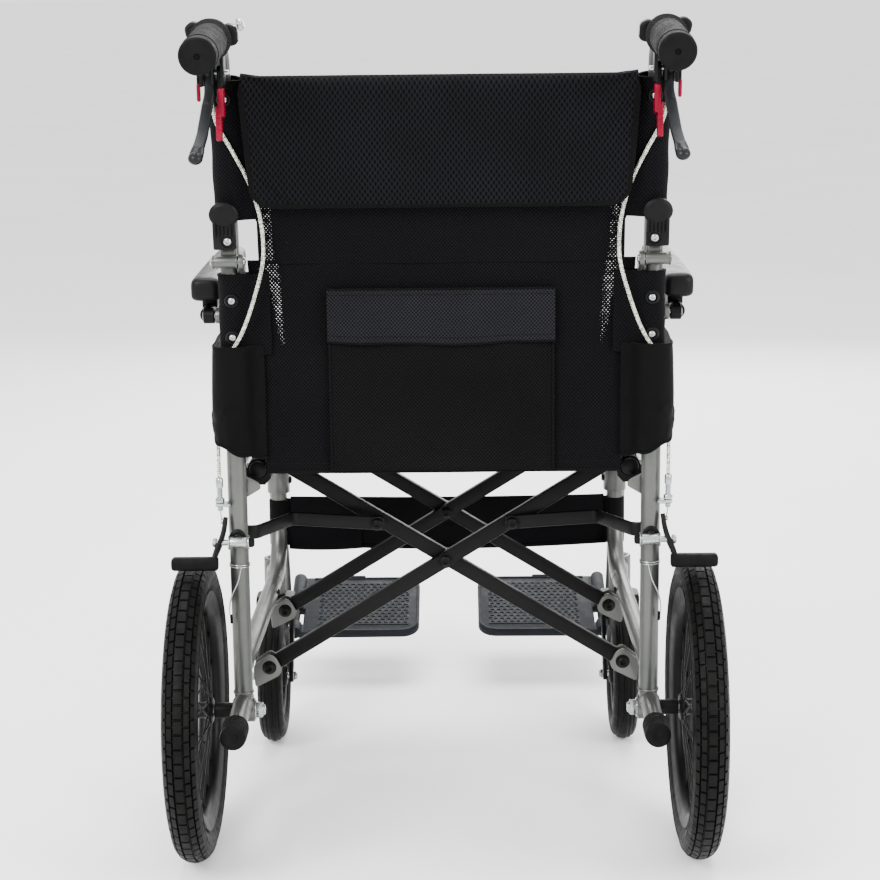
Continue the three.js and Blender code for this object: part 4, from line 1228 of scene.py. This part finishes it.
def cable(side, mirror):
    """The brake cable's housing, with its ferrule at the lever and its adjuster at the brake arm."""
    path = smooth_path(CABLE_ROUTE, 90)
    shape = Shape(BRAID)
    shape.tube(path, 2.2, 14, BRAID, 0.3)
    obj = shape.piece(f"housing_{side}", None, mirror, [f"brake_cable_{side}"], "cable_braid")
    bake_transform(obj)
    top = Shape(ZINC)
    top.lathe([(2.3, 0), (3.4, 0.4), (3.4, 13), (2.6, 15), (2.3, 15)], path[0] + Vector((0, 0, 1)),
              path[1] - path[0], 18, ZINC, loop=True)
    top.tube([(249, -59, 917), (249, -62, 929), (249, -67, 938)], 1.0, 8, ZINC, 0.2)
    top.piece(f"ferrule_{side}", f"back_fold_{side}", mirror, slot="zinc")
    low = Shape(ZINC)
    low.rod((*ADJUSTER, 424.5), (*ADJUSTER, 460), 2.9, ZINC, 20)
    for k in range(12):
        z = 426 + k * 2.3
        low.lathe([(2.8, z), (3.3, z + 0.6), (3.3, z + 1), (2.8, z + 1.6)], (*ADJUSTER, 0), UP, 18, ZINC)
    low.nut((*ADJUSTER, 434.4), UP, 5.4, 5, ZINC)
    low.lathe([(2.4, 452), (4.2, 452.6), (4.2, 462), (3.2, 463.6), (2.4, 463.6)],
              (*ADJUSTER, 0), UP, 20, ZINC, loop=True)
    low.piece(f"adjuster_{side}", f"frame_{side}", mirror, [f"cable_adjuster_{side}"], "zinc", 0.1)


def brake(side, mirror):
    shape = Shape(BLACK, CAP, ZINC)
    arm = smooth_path([(266.5, -34, 366), (263, -26, 378), (258.5, *BRAKE_PIN), (254.5, -13, 402),
                       (252.5, -9, 416)], 12)
    ribbon(shape, arm, OUT, [11, 12, 13, 14, 14.5, 14.5, 14, 13, 12, 11, 10, 7], 5.0, BLACK)
    ring = outline_round([(-42, 359.5), (-26.5, 359.5), (-26, 374.6), (-42, 374.6)], 5.5)
    rings = []
    for x, inset in ((260, 1.6), (261.6, 0), (310.5, 0), (313, 1.2), (314, 3.4)):
        rings.append([Vector((x, -34 + (y + 34) * (1 - inset / 8), 367 + (z - 367) * (1 - inset / 8)))
                      for y, z in ring])
    shape.skin(rings, CAP)
    shape.rod((250.6, -10, 411), (258.4, -10, 411), 3.0, ZINC)
    shape.tube([(*ADJUSTER, 425), (257.6, -12, 419), (256.4, -10.4, 411)], 0.8, 8, ZINC, 0.2)
    shape.piece(f"shoe_{side}", f"brake_arm_{side}", mirror, [f"brake_arm_{side}"], "black_paint", 0.4)


# ------------------------------------------------------------------ armrests
def arm_tube(side, mirror):
    support = Shape(SILVER, BLACK)
    support.collar(5.5, 9, 262, 275, (0, *ARM_PIVOT), OUT, 32, BLACK)
    support.tube(bend([(271, 36, 645.2), (271, 320, 652), (271, 320, 440.4)], 40), 9, 28, BLACK)
    for y in (60, 240):
        support.block((262, 280), (y, y + 24), (650, 664), BLACK, 3)
    support.lathe([(8.8, 0), (10, 0.8), (10, 12), (8.8, 12.6)], (271, 320, 440.6), UP, 28, BLACK)
    support.piece(f"arm_tube_{side}", f"armrest_{side}", mirror,
                  [f"armrest_support_{side}"], "frame_paint", 0.4)


def arm_pad(side, mirror):
    pad = Shape(PAD)
    rings = []
    stops = [(20, 0.55), (21.5, 0.8), (25, 0.95), (32, 1.0)] + [(y, 1.0) for y in range(50, 320, 15)]
    stops += [(326, 1.0), (333, 0.95), (336.6, 0.8), (338, 0.55)]
    for y, size in stops:
        crown = 1.5 * math.sin(math.pi * (y - 20) / 318)
        ring = []
        for t in turns(40):
            c, s = math.cos(t), math.sin(t)
            px = math.copysign(abs(c) ** 0.55, c) * 17.2 * (0.9 + 0.1 * size)
            pz = s ** 0.62 * 13.6 * size + crown if s > 0 else -abs(s) ** 0.35 * 14.2 * size
            ring.append(Vector((271.5 + px * size, y, 676.6 + pz)))
        rings.append(ring)
    pad.skin(rings)
    obj = pad.piece(f"arm_pad_{side}", f"armrest_{side}", mirror,
                    [f"armrest_pad_{side}"], "black_plastic", sharp=60)


# ------------------------------------------------------------------ cloth
def spread(low, high, step):
    return list(np.linspace(low, high, max(2, int(round((high - low) / step)) + 1)))


def edge_in(z, bottom, radius):
    """How far a rounded lower corner pulls its edge in at a height."""
    rise = max(0.0, min(z - bottom, radius))
    return radius - math.sqrt(max(0.0, radius * radius - (radius - rise) ** 2))


def airy(x, z):
    """How much light comes through the mesh of the back: 1 in the middle of the strip that is one layer."""
    heights = (608, 616, 667, 714, 754, 790)
    inner = np.interp(z, heights, (184, 178, 179, 183, 186, 187))
    outer = np.interp(z, heights, (183, 186, 195.5, 205, 206, 206))
    return max(0.0, min(1.0, min(x - inner, outer - x) / 4.0))


def halves(part):
    """Two halves' body names and points for a cloth that folds along the chair's middle; a piece given them
    is baked in place.
    """
    return (f"{part}_left", f"{part}_right", at(-26, 0, 0), at(26, 0, 0))


def row(surface, v, step, shift=(0, 0, 0)):
    """Points across a cloth's surface at one v, moved by shift."""
    return [Vector(surface(u, v)) + Vector(shift) for u in spread(-1, 1, step)]


def back_lower():
    def half_width(v):
        return 219 - 16 * (714 - v) / 247

    def lower(u, v):
        x = u * half_width(v)
        rise = max(0.0, (v - 640) / 74)
        pucker = 0.6 * math.sin(v / 11.0) * max(0, abs(u) - 0.85) / 0.15
        return (x, -4.2 - 2.6 * rise * rise - 1.2 * (1 - u * u) + fold_cloth(1.3, x, 0, v) + pucker, v)

    lower_sheet = cloth("back_lower_mesh", lower, spread(-1, 1, 1 / 40), spread(467, 713.4, 6), 3.0,
                        BACK_MESH,
                        blend=halves("back_lower"), nodes=["back_lower_left", "back_lower_right"],
                        slot="mesh_fabric",
                        sheer=lambda u, v: airy(abs(u) * half_width(v), v))

    hem = Shape(TAPE, THREAD)
    ribbon(hem, row(lower, 468.5, 1 / 40), BACK, 5, 4.2, TAPE)
    stitches(hem, row(lower, 478, 1 / 40, (0, -1.5, 0)), BACK, THREAD)
    hem.piece("back_lower_hems", slot="strap_fabric", blend=halves("back_lower"))


def back_upper():
    def half_width(v):
        return 206 + 11 * min(1.0, max(0.0, (v - 764) / 8))

    def upper(u, v):
        x = u * half_width(v)
        y = -8.0 - 1.4 * (1 - u * u) + fold_cloth(1.4, x, 40, v)
        return LEANED @ Vector((x, y, v))

    upper_sheet = cloth("back_upper_mesh", upper, spread(-1, 1, 1 / 40), spread(711.5, 922, 6), 3.0,
                        BACK_MESH,
                        blend=halves("back_upper"), nodes=["back_upper_left", "back_upper_right"],
                        slot="mesh_fabric",
                        sheer=lambda u, v: airy(abs(u) * half_width(v), v))


def back_flap():
    route = smooth_path([(0, -5.2, 890), (0, -5.0, 916), (0, -9, 925), (0, -17, 927.4), (0, -24, 921),
                         (0, -25.6, 900),
                         (0, -25.2, 850), (0, -24.0, 805), (0, -22.8, 783.5)], 54)
    bottom = 783.5

    def half_width(z, inner):
        if inner:
            return 216
        return 216 - 7 * max(0, 922 - z) / 107 - edge_in(z, bottom, 20)

    def flap(u, v):
        i = min(int(v), len(route) - 2)
        p = route[i].lerp(route[i + 1], v - i)
        x = u * half_width(p.z, p.y > -12)
        swell = 1.3 * math.sin(math.pi * min(1, max(0, (925 - p.z) / 154))) if p.y < -18 else 0
        y = p.y - swell * (1 - u ** 4) + fold_cloth(1.7, x, 90, p.z) * (1 if p.y < -18 else 0.3)
        return LEANED @ Vector((x, y, p.z))

    sheet = cloth("back_flap_mesh", flap, spread(-1, 1, 1 / 44), spread(0, len(route) - 1, 1), 4.2, FLAP_MESH,
                  blend=halves("back_upper"), slot="mesh_fabric", slack=0.012, cap=3.0)
    first = next(i for i, p in enumerate(route) if p.y < -24)
    stops = [float(i) for i in range(first, len(route))]
    edge = [flap(-1, v) for v in stops] + [flap(u, len(route) - 1) for u in spread(-1, 1, 1 / 44)[1:-1]]
    edge += [flap(1, v) for v in reversed(stops)]
    edge = smooth_path(edge, 190)
    normal = LEANED.to_3x3() @ Vector(BACK)
    binding = Shape(TAPE, THREAD)
    ribbon(binding, edge, normal, [2.5, 5, 6.5] + [7.5] * 184 + [6.5, 5, 2.5], 6.0, TAPE)
    inset = [p + (Vector((0, p.y, 850)) - p).normalized() * 5.6 + normal * 2.4 for p in edge[8:-8]]
    stitches(binding, inset, normal, THREAD, 4.2, 2.7, 0.35)
    binding.piece("back_flap_binding", slot="strap_fabric", blend=halves("back_upper"))


def sleeve(part, low, high, around, turn, screws, side, mirror):
    """A cloth tube that holds the back on a post, with its screws in dished washers."""
    def wrap(u, v):
        i = min(int(u), len(around) - 2)
        p = around[i].lerp(around[i + 1], u - i)
        out = Vector((p.x - 238.5, p.y, 0)).normalized() * (0.45 * math.sin(v / 9.0 + p.x / 14.0))
        return turn @ Vector((p.x + out.x, p.y + out.y * 0.5, v))

    obj = cloth(f"sleeve_{part}_{side}", wrap, spread(0, len(around) - 1, 1), spread(low, high, 5), 2.2,
                BACK_MESH,
                body=f"back_{part}_{side}", slot="mesh_fabric", side=mirror)
    trim = Shape(TAPE, ZINC, PLASTIC)
    normals = [(turn.to_3x3() @ Vector((t.y, -t.x, 0))).normalized() for t in neighbours(around)]
    for z in (low + 0.8, high - 0.8):
        ribbon(trim, [wrap(i, z) for i in range(len(around))], normals, 3.2, 3.2, TAPE)
    for x, z in screws:
        place, axis = turn @ Vector((x, -15.4, z)), turn.to_3x3() @ Vector(BACK)
        trim.lathe([(8.2, 0), (8.4, 1), (7.4, 2.6), (5.6, 2.9), (5, 1.4), (0.01, 1.2)],
                   place, axis, 22, PLASTIC)
        trim.bolt(place + axis * 1.2, axis, 4.4, 3.0, ZINC)
    trim.piece(f"sleeve_trim_{part}_{side}", f"back_{part}_{side}", mirror, slot="strap_fabric")


def sleeves(side, mirror):
    round_post = [(242, -14.8, 0), (250.2, -8.4, 0), (251.8, 1, 0),
                  (247, 11, 0), (236, 14.4, 0), (224, 10, 0)]
    upper = [(203, -10.4, 0), (216, -12.6, 0), (228, -15.4, 0), *round_post, (214, -2, 0), (205, -5, 0)]
    lower = [(194, -9, 0), (214, -10, 0), (228, -14.6, 0), *round_post, (212, 0, 0), (196, -1.5, 0)]
    sleeve("upper", 765, 921, smooth_path(upper, 44), LEANED, [(235, 901)], side, mirror)
    upright = Matrix.Identity(4)
    sleeve("lower", 607, 698, smooth_path(lower, 48), upright, [(237, 669), (237, 627)], side, mirror)


def pocket():
    def face(u, v):
        x = -1 + u * 127
        belly = 2.2 * math.sin(math.pi * (v - 470) / 215) * (1 - u * u)
        return (x, -9.6 - belly + fold_cloth(1.3, x, 200, v), v)

    sheet = cloth("pocket_panel", face, spread(-1, 1, 1 / 30), spread(470, 660, 6), 2.4, POCKET_MESH,
                  blend=halves("back_lower"), nodes=["back_pocket"], slot="mesh_fabric")

    def lid(u, v):
        x = -1 + u * 129
        sag = 3.5 * (1 - u * u) * (681 - v) / 61 + 0.8 * math.sin(u * 6.5 + 0.6) * (681 - v) / 61
        wave = (1.1 * math.sin(u * 8.0) + 0.6 * math.sin(u * 17.0 + 1.0)) * (681 - v) / 61
        return (x, -13.4 - wave - 1.2 * (681 - v) / 61 + fold_cloth(1.0, x, 260, v), v - sag)

    sheet = cloth("pocket_lid", lid, spread(-1, 1, 1 / 32), spread(620, 681, 5), 2.4, LID_MESH,
                  blend=halves("back_lower"), slot="mesh_fabric")
    trim = Shape(TAPE, THREAD)
    for u in (-1, 1):
        edge = [Vector(face(u, z)) + Vector((0, -0.8, 0)) for z in spread(470, 656, 6)]
        ribbon(trim, edge, BACK, 3, 2.8, TAPE)
        stitches(trim, [p + Vector((-u * 4.5, -0.8, 0)) for p in edge], BACK, THREAD, 4.4, 2.8, 0.35)
    for surface, z, step in ((lid, 621, 1 / 32), (lid, 680, 1 / 32), (face, 471, 1 / 30)):
        ribbon(trim, row(surface, z, step), BACK, 2.6, 3.0, TAPE)
    for z in (628, 674):
        stitches(trim, row(lid, z, 1 / 32, (0, -1.3, 0)), BACK, THREAD)
    trim.piece("pocket_trim", slot="strap_fabric", blend=halves("back_lower"))


def seat():
    def face(u, v):
        x = u * 207
        sag = 5.5 * (1 - u * u) * (0.5 + 0.5 * math.sin(math.pi * (v - 16) / 412))
        return (x, v, 474.2 - sag + fold_cloth(1.2, x, v, 0, 90))

    sheet = cloth("seat_sling", face, spread(-1, 1, 1 / 36), spread(16, 428, 8), 3.4, SEAT,
                  blend=halves("seat"), nodes=["seat_left", "seat_right"],
                  slot="seat_fabric")
    trim = Shape(TAPE, THREAD)
    for y in (19, 425):
        ribbon(trim, row(face, y, 1 / 36), UP, 16, 6, TAPE)
    for u in (-0.93, -0.33, 0.33, 0.93):
        stitches(trim, [Vector(face(u, y)) + Vector((0, 0, 2.0)) for y in spread(30, 414, 8)], UP, THREAD,
                 4.6, 3, 0.4)
    trim.piece("seat_trim", slot="seat_fabric", blend=halves("seat"))
    for side, mirror in SIDES:
        wrap = Shape(SEAT)
        for y0, y1 in ((24, 43), (72, 378), (407, 424)):
            profile = [(10.2, y0), (11.8, y0), (12.1, y0 + 1)]
            profile += [(12.1 + 0.25 * math.sin(y / 4.0), y) for y in spread(y0 + 3, y1 - 3, 4)]
            profile += [(12.1, y1 - 1), (11.8, y1), (10.2, y1)]
            wrap.lathe(profile, (FOOT_X, 0, RAIL_Z), AHEAD, 28, loop=True)
            wrap.block((205, 216), (y0, y1), (473.2, 477.2), corner=1)
        wrap.piece(f"seat_sleeve_{side}", f"seat_{side}", mirror, slot="seat_fabric")


def strap_layer(name, y, low, high, x0, x1, sag, thick):
    def face(u, v):
        x = x0 + (x1 - x0) * u
        droop = sag * (1 - (2 * u - 1) ** 2) * (1 if v < (low + high) / 2 else 0.55)
        return (x, y + fold_cloth(1.5, x, 0, v, 60), v - droop)

    return cloth(name, face, spread(0, 1, 1 / 50), spread(low, high, 6), thick, WEBBING, slot="strap_fabric")


def calf_strap():
    main = strap_layer("calf_strap_web", 445.5, 262, 326, -222, 222, 7, 3.0)
    over = strap_layer("calf_strap_end", 441.6, 256, 302, -218, -118, 2, 2.8)
    band = strap_layer("calf_strap_band", 441.8, 286, 330, -215, 216, 4, 2.4)
    trim = Shape(TAPE, THREAD)
    for z in (263, 325):
        path = [(x, 443.6,
                 z - 7 * (1 - (x / 222) ** 2) * (1 if z < 300 else 0.55)) for x in spread(-220, 220, 6)]
        ribbon(trim, path, BACK, 5, 3.4, TAPE)
    for z in (290, 326):
        stitches(trim, [(x, 440.2, z - 2.2 * (1 - (x / 216) ** 2)) for x in spread(-214, 214, 6)], BACK,
                 THREAD)
    for x in (-1, 1):
        trim.lathe([(11.6, 262), (13.6, 262.6), (13.8, 290), (13.6, 325.4), (11.6, 326)], (x * 231, 445, 0),
                   UP, 28,
                   TAPE, loop=True)
    edging = trim.piece("calf_strap_trim", slot="strap_fabric")
    for piece in (main, over, band, edging):
        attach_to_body(piece, "frame_left")
        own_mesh(piece)
    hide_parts("calf_strap")


def side_guard(side, mirror):
    around = smooth_path([(261, 300, 0), (260.6, 200, 0), (260.6, 90, 0), (260.4, 20, 0), (260.4, -6, 0),
                          (256.6, -17.6, 0),
                          (248, -23.5, 0), (234, -24.5, 0), (223, -22, 0), (217, -14.5, 0), (211, -11, 0),
                          (203, -9, 0)], 92)
    low = [float(np.interp(i, (0, 50, 64, 74, 84, 91),
                           (503, 505, 519, 509, 491, 487))) + 1.6 * math.sin(i * 0.9)
           for i in range(92)]

    def face(u, v):
        i = min(int(u), 90)
        p = around[i].lerp(around[i + 1], u - i)
        z0 = low[i] + (low[i + 1] - low[i]) * (u - i)
        z = z0 + (615 - z0) * v
        puff = 0.6 * math.sin(math.pi * v) + fold_cloth(1.3, p.x * 1.5, p.y, z, 55)
        t = (around[min(i + 1, 91)] - around[max(i - 1, 0)]).normalized()
        n = Vector((-t.y, t.x, 0))
        puff += 1.8 * math.sin(math.pi * v) * math.sin(math.pi * min(1, max(0, (i - 62) / 26)))
        return (p.x + n.x * puff, p.y + n.y * puff, z)

    obj = cloth(f"guard_{side}", face, spread(0, 91, 1), spread(0, 1, 1 / 20), 3.2, GUARD,
                body=f"frame_{side}",
                nodes=[f"side_guard_{side}"], slot="guard_fabric", side=mirror, slack=0.008, cap=1.6)
    trim = Shape(TAPE)
    for v in (0.0, 1.0):
        path = [Vector(face(u, v)) for u in spread(0, 91, 1)]
        normals = [Vector((t.y, -t.x, 0)).normalized() for t in neighbours(path)]
        ribbon(trim, path, normals, 4, 4.4, TAPE)
    trim.piece(f"guard_trim_{side}", f"frame_{side}", mirror, slot="strap_fabric")


# ------------------------------------------------------------------ everything in place
SIDE_PIECES = (frame_tubes, frame_fixings, tip_cap, rear_axle, hanger, footplate, rear_tyre, rear_wheel,
               caster_fork,
               caster_tyre, caster_rim, seat_rail, link_arm, upper_post, hand_grip, lever_clamp, brake_lever,
               parking_catch, back_latch, cable, brake, arm_tube, arm_pad, sleeves, side_guard)
for _side, _mirror in SIDES:
    for _build in SIDE_PIECES:
        _build(_side, _mirror)
for _name in ("a", "b"):
    for _row in BARS_Y:
        cross_bar(_name, _row)
for _build in (back_lower, back_upper, back_flap, pocket, seat, calf_strap):
    _build()


# ------------------------------------------------------------------ floor, light and camera
def studio():
    floor = bpy.data.meshes.new("floor")
    floor.from_pydata([(-300, -300, 0), (300, -300, 0), (300, 300, 0), (-300, 300, 0)], [], [(0, 1, 2, 3)])
    recipe = Recipe("floor_paint", Specular_IOR_Level=0.2)
    recipe.colour(recipe.colours(recipe.noise(1.2, 3.0), [(0.3, (0.86, 0.86, 0.86)), (0.7, (0.9, 0.9, 0.9))]))
    recipe.roughness(recipe.noise(6.0, 4.0), 0.75, 0.9)
    floor.materials.append(recipe.material)
    ground = bpy.data.objects.new("floor", floor)
    SCENE.collection.objects.link(ground)
    world = bpy.data.worlds.new("studio")
    world.use_nodes = True
    world.node_tree.nodes["Background"].inputs["Color"].default_value = (1, 1, 1, 1)
    world.node_tree.nodes["Background"].inputs["Strength"].default_value = 1.9
    SCENE.world = world
    aim = at(0, 0, 500)
    for name, place, size, energy in (
        ("key", (-1.9, -2.6, 2.6), 1.6, 190),
        ("fill", (2.4, -2.0, 1.7), 1.6, 100),
        ("top", (0.1, 0.4, 3.2), 2.0, 130),
        ("ahead", (0.4, 3.0, 1.6), 2.0, 80),
    ):
        lamp = bpy.data.lights.new(name, "AREA")
        lamp.shape = "SQUARE"
        lamp.size = size
        lamp.energy = energy
        obj = bpy.data.objects.new(name, lamp)
        obj.location = place
        obj.rotation_euler = (aim - Vector(place)).to_track_quat("-Z", "Y").to_euler()
        SCENE.collection.objects.link(obj)


def camera():
    data = bpy.data.cameras.new("camera")
    data.lens = 85.39
    data.sensor_width = 36.0
    data.clip_end = 600
    obj = bpy.data.objects.new("camera", data)
    turn = Matrix.Rotation(0.0100352, 3, "Z") @ Matrix.Rotation(-0.2124876, 3,
                                                                "X") @ Matrix.Rotation(0.0108292, 3, "Y")
    right, ahead, up = turn.col[0], turn.col[1], turn.col[2]
    basis = Matrix((right, up, -ahead)).transposed()
    obj.matrix_world = Matrix.Translation(at(19.81, -2348.88, 1009.75)) @ basis.to_4x4()
    SCENE.collection.objects.link(obj)
    SCENE.camera = obj


studio()
camera()
bpy.context.view_layer.update()
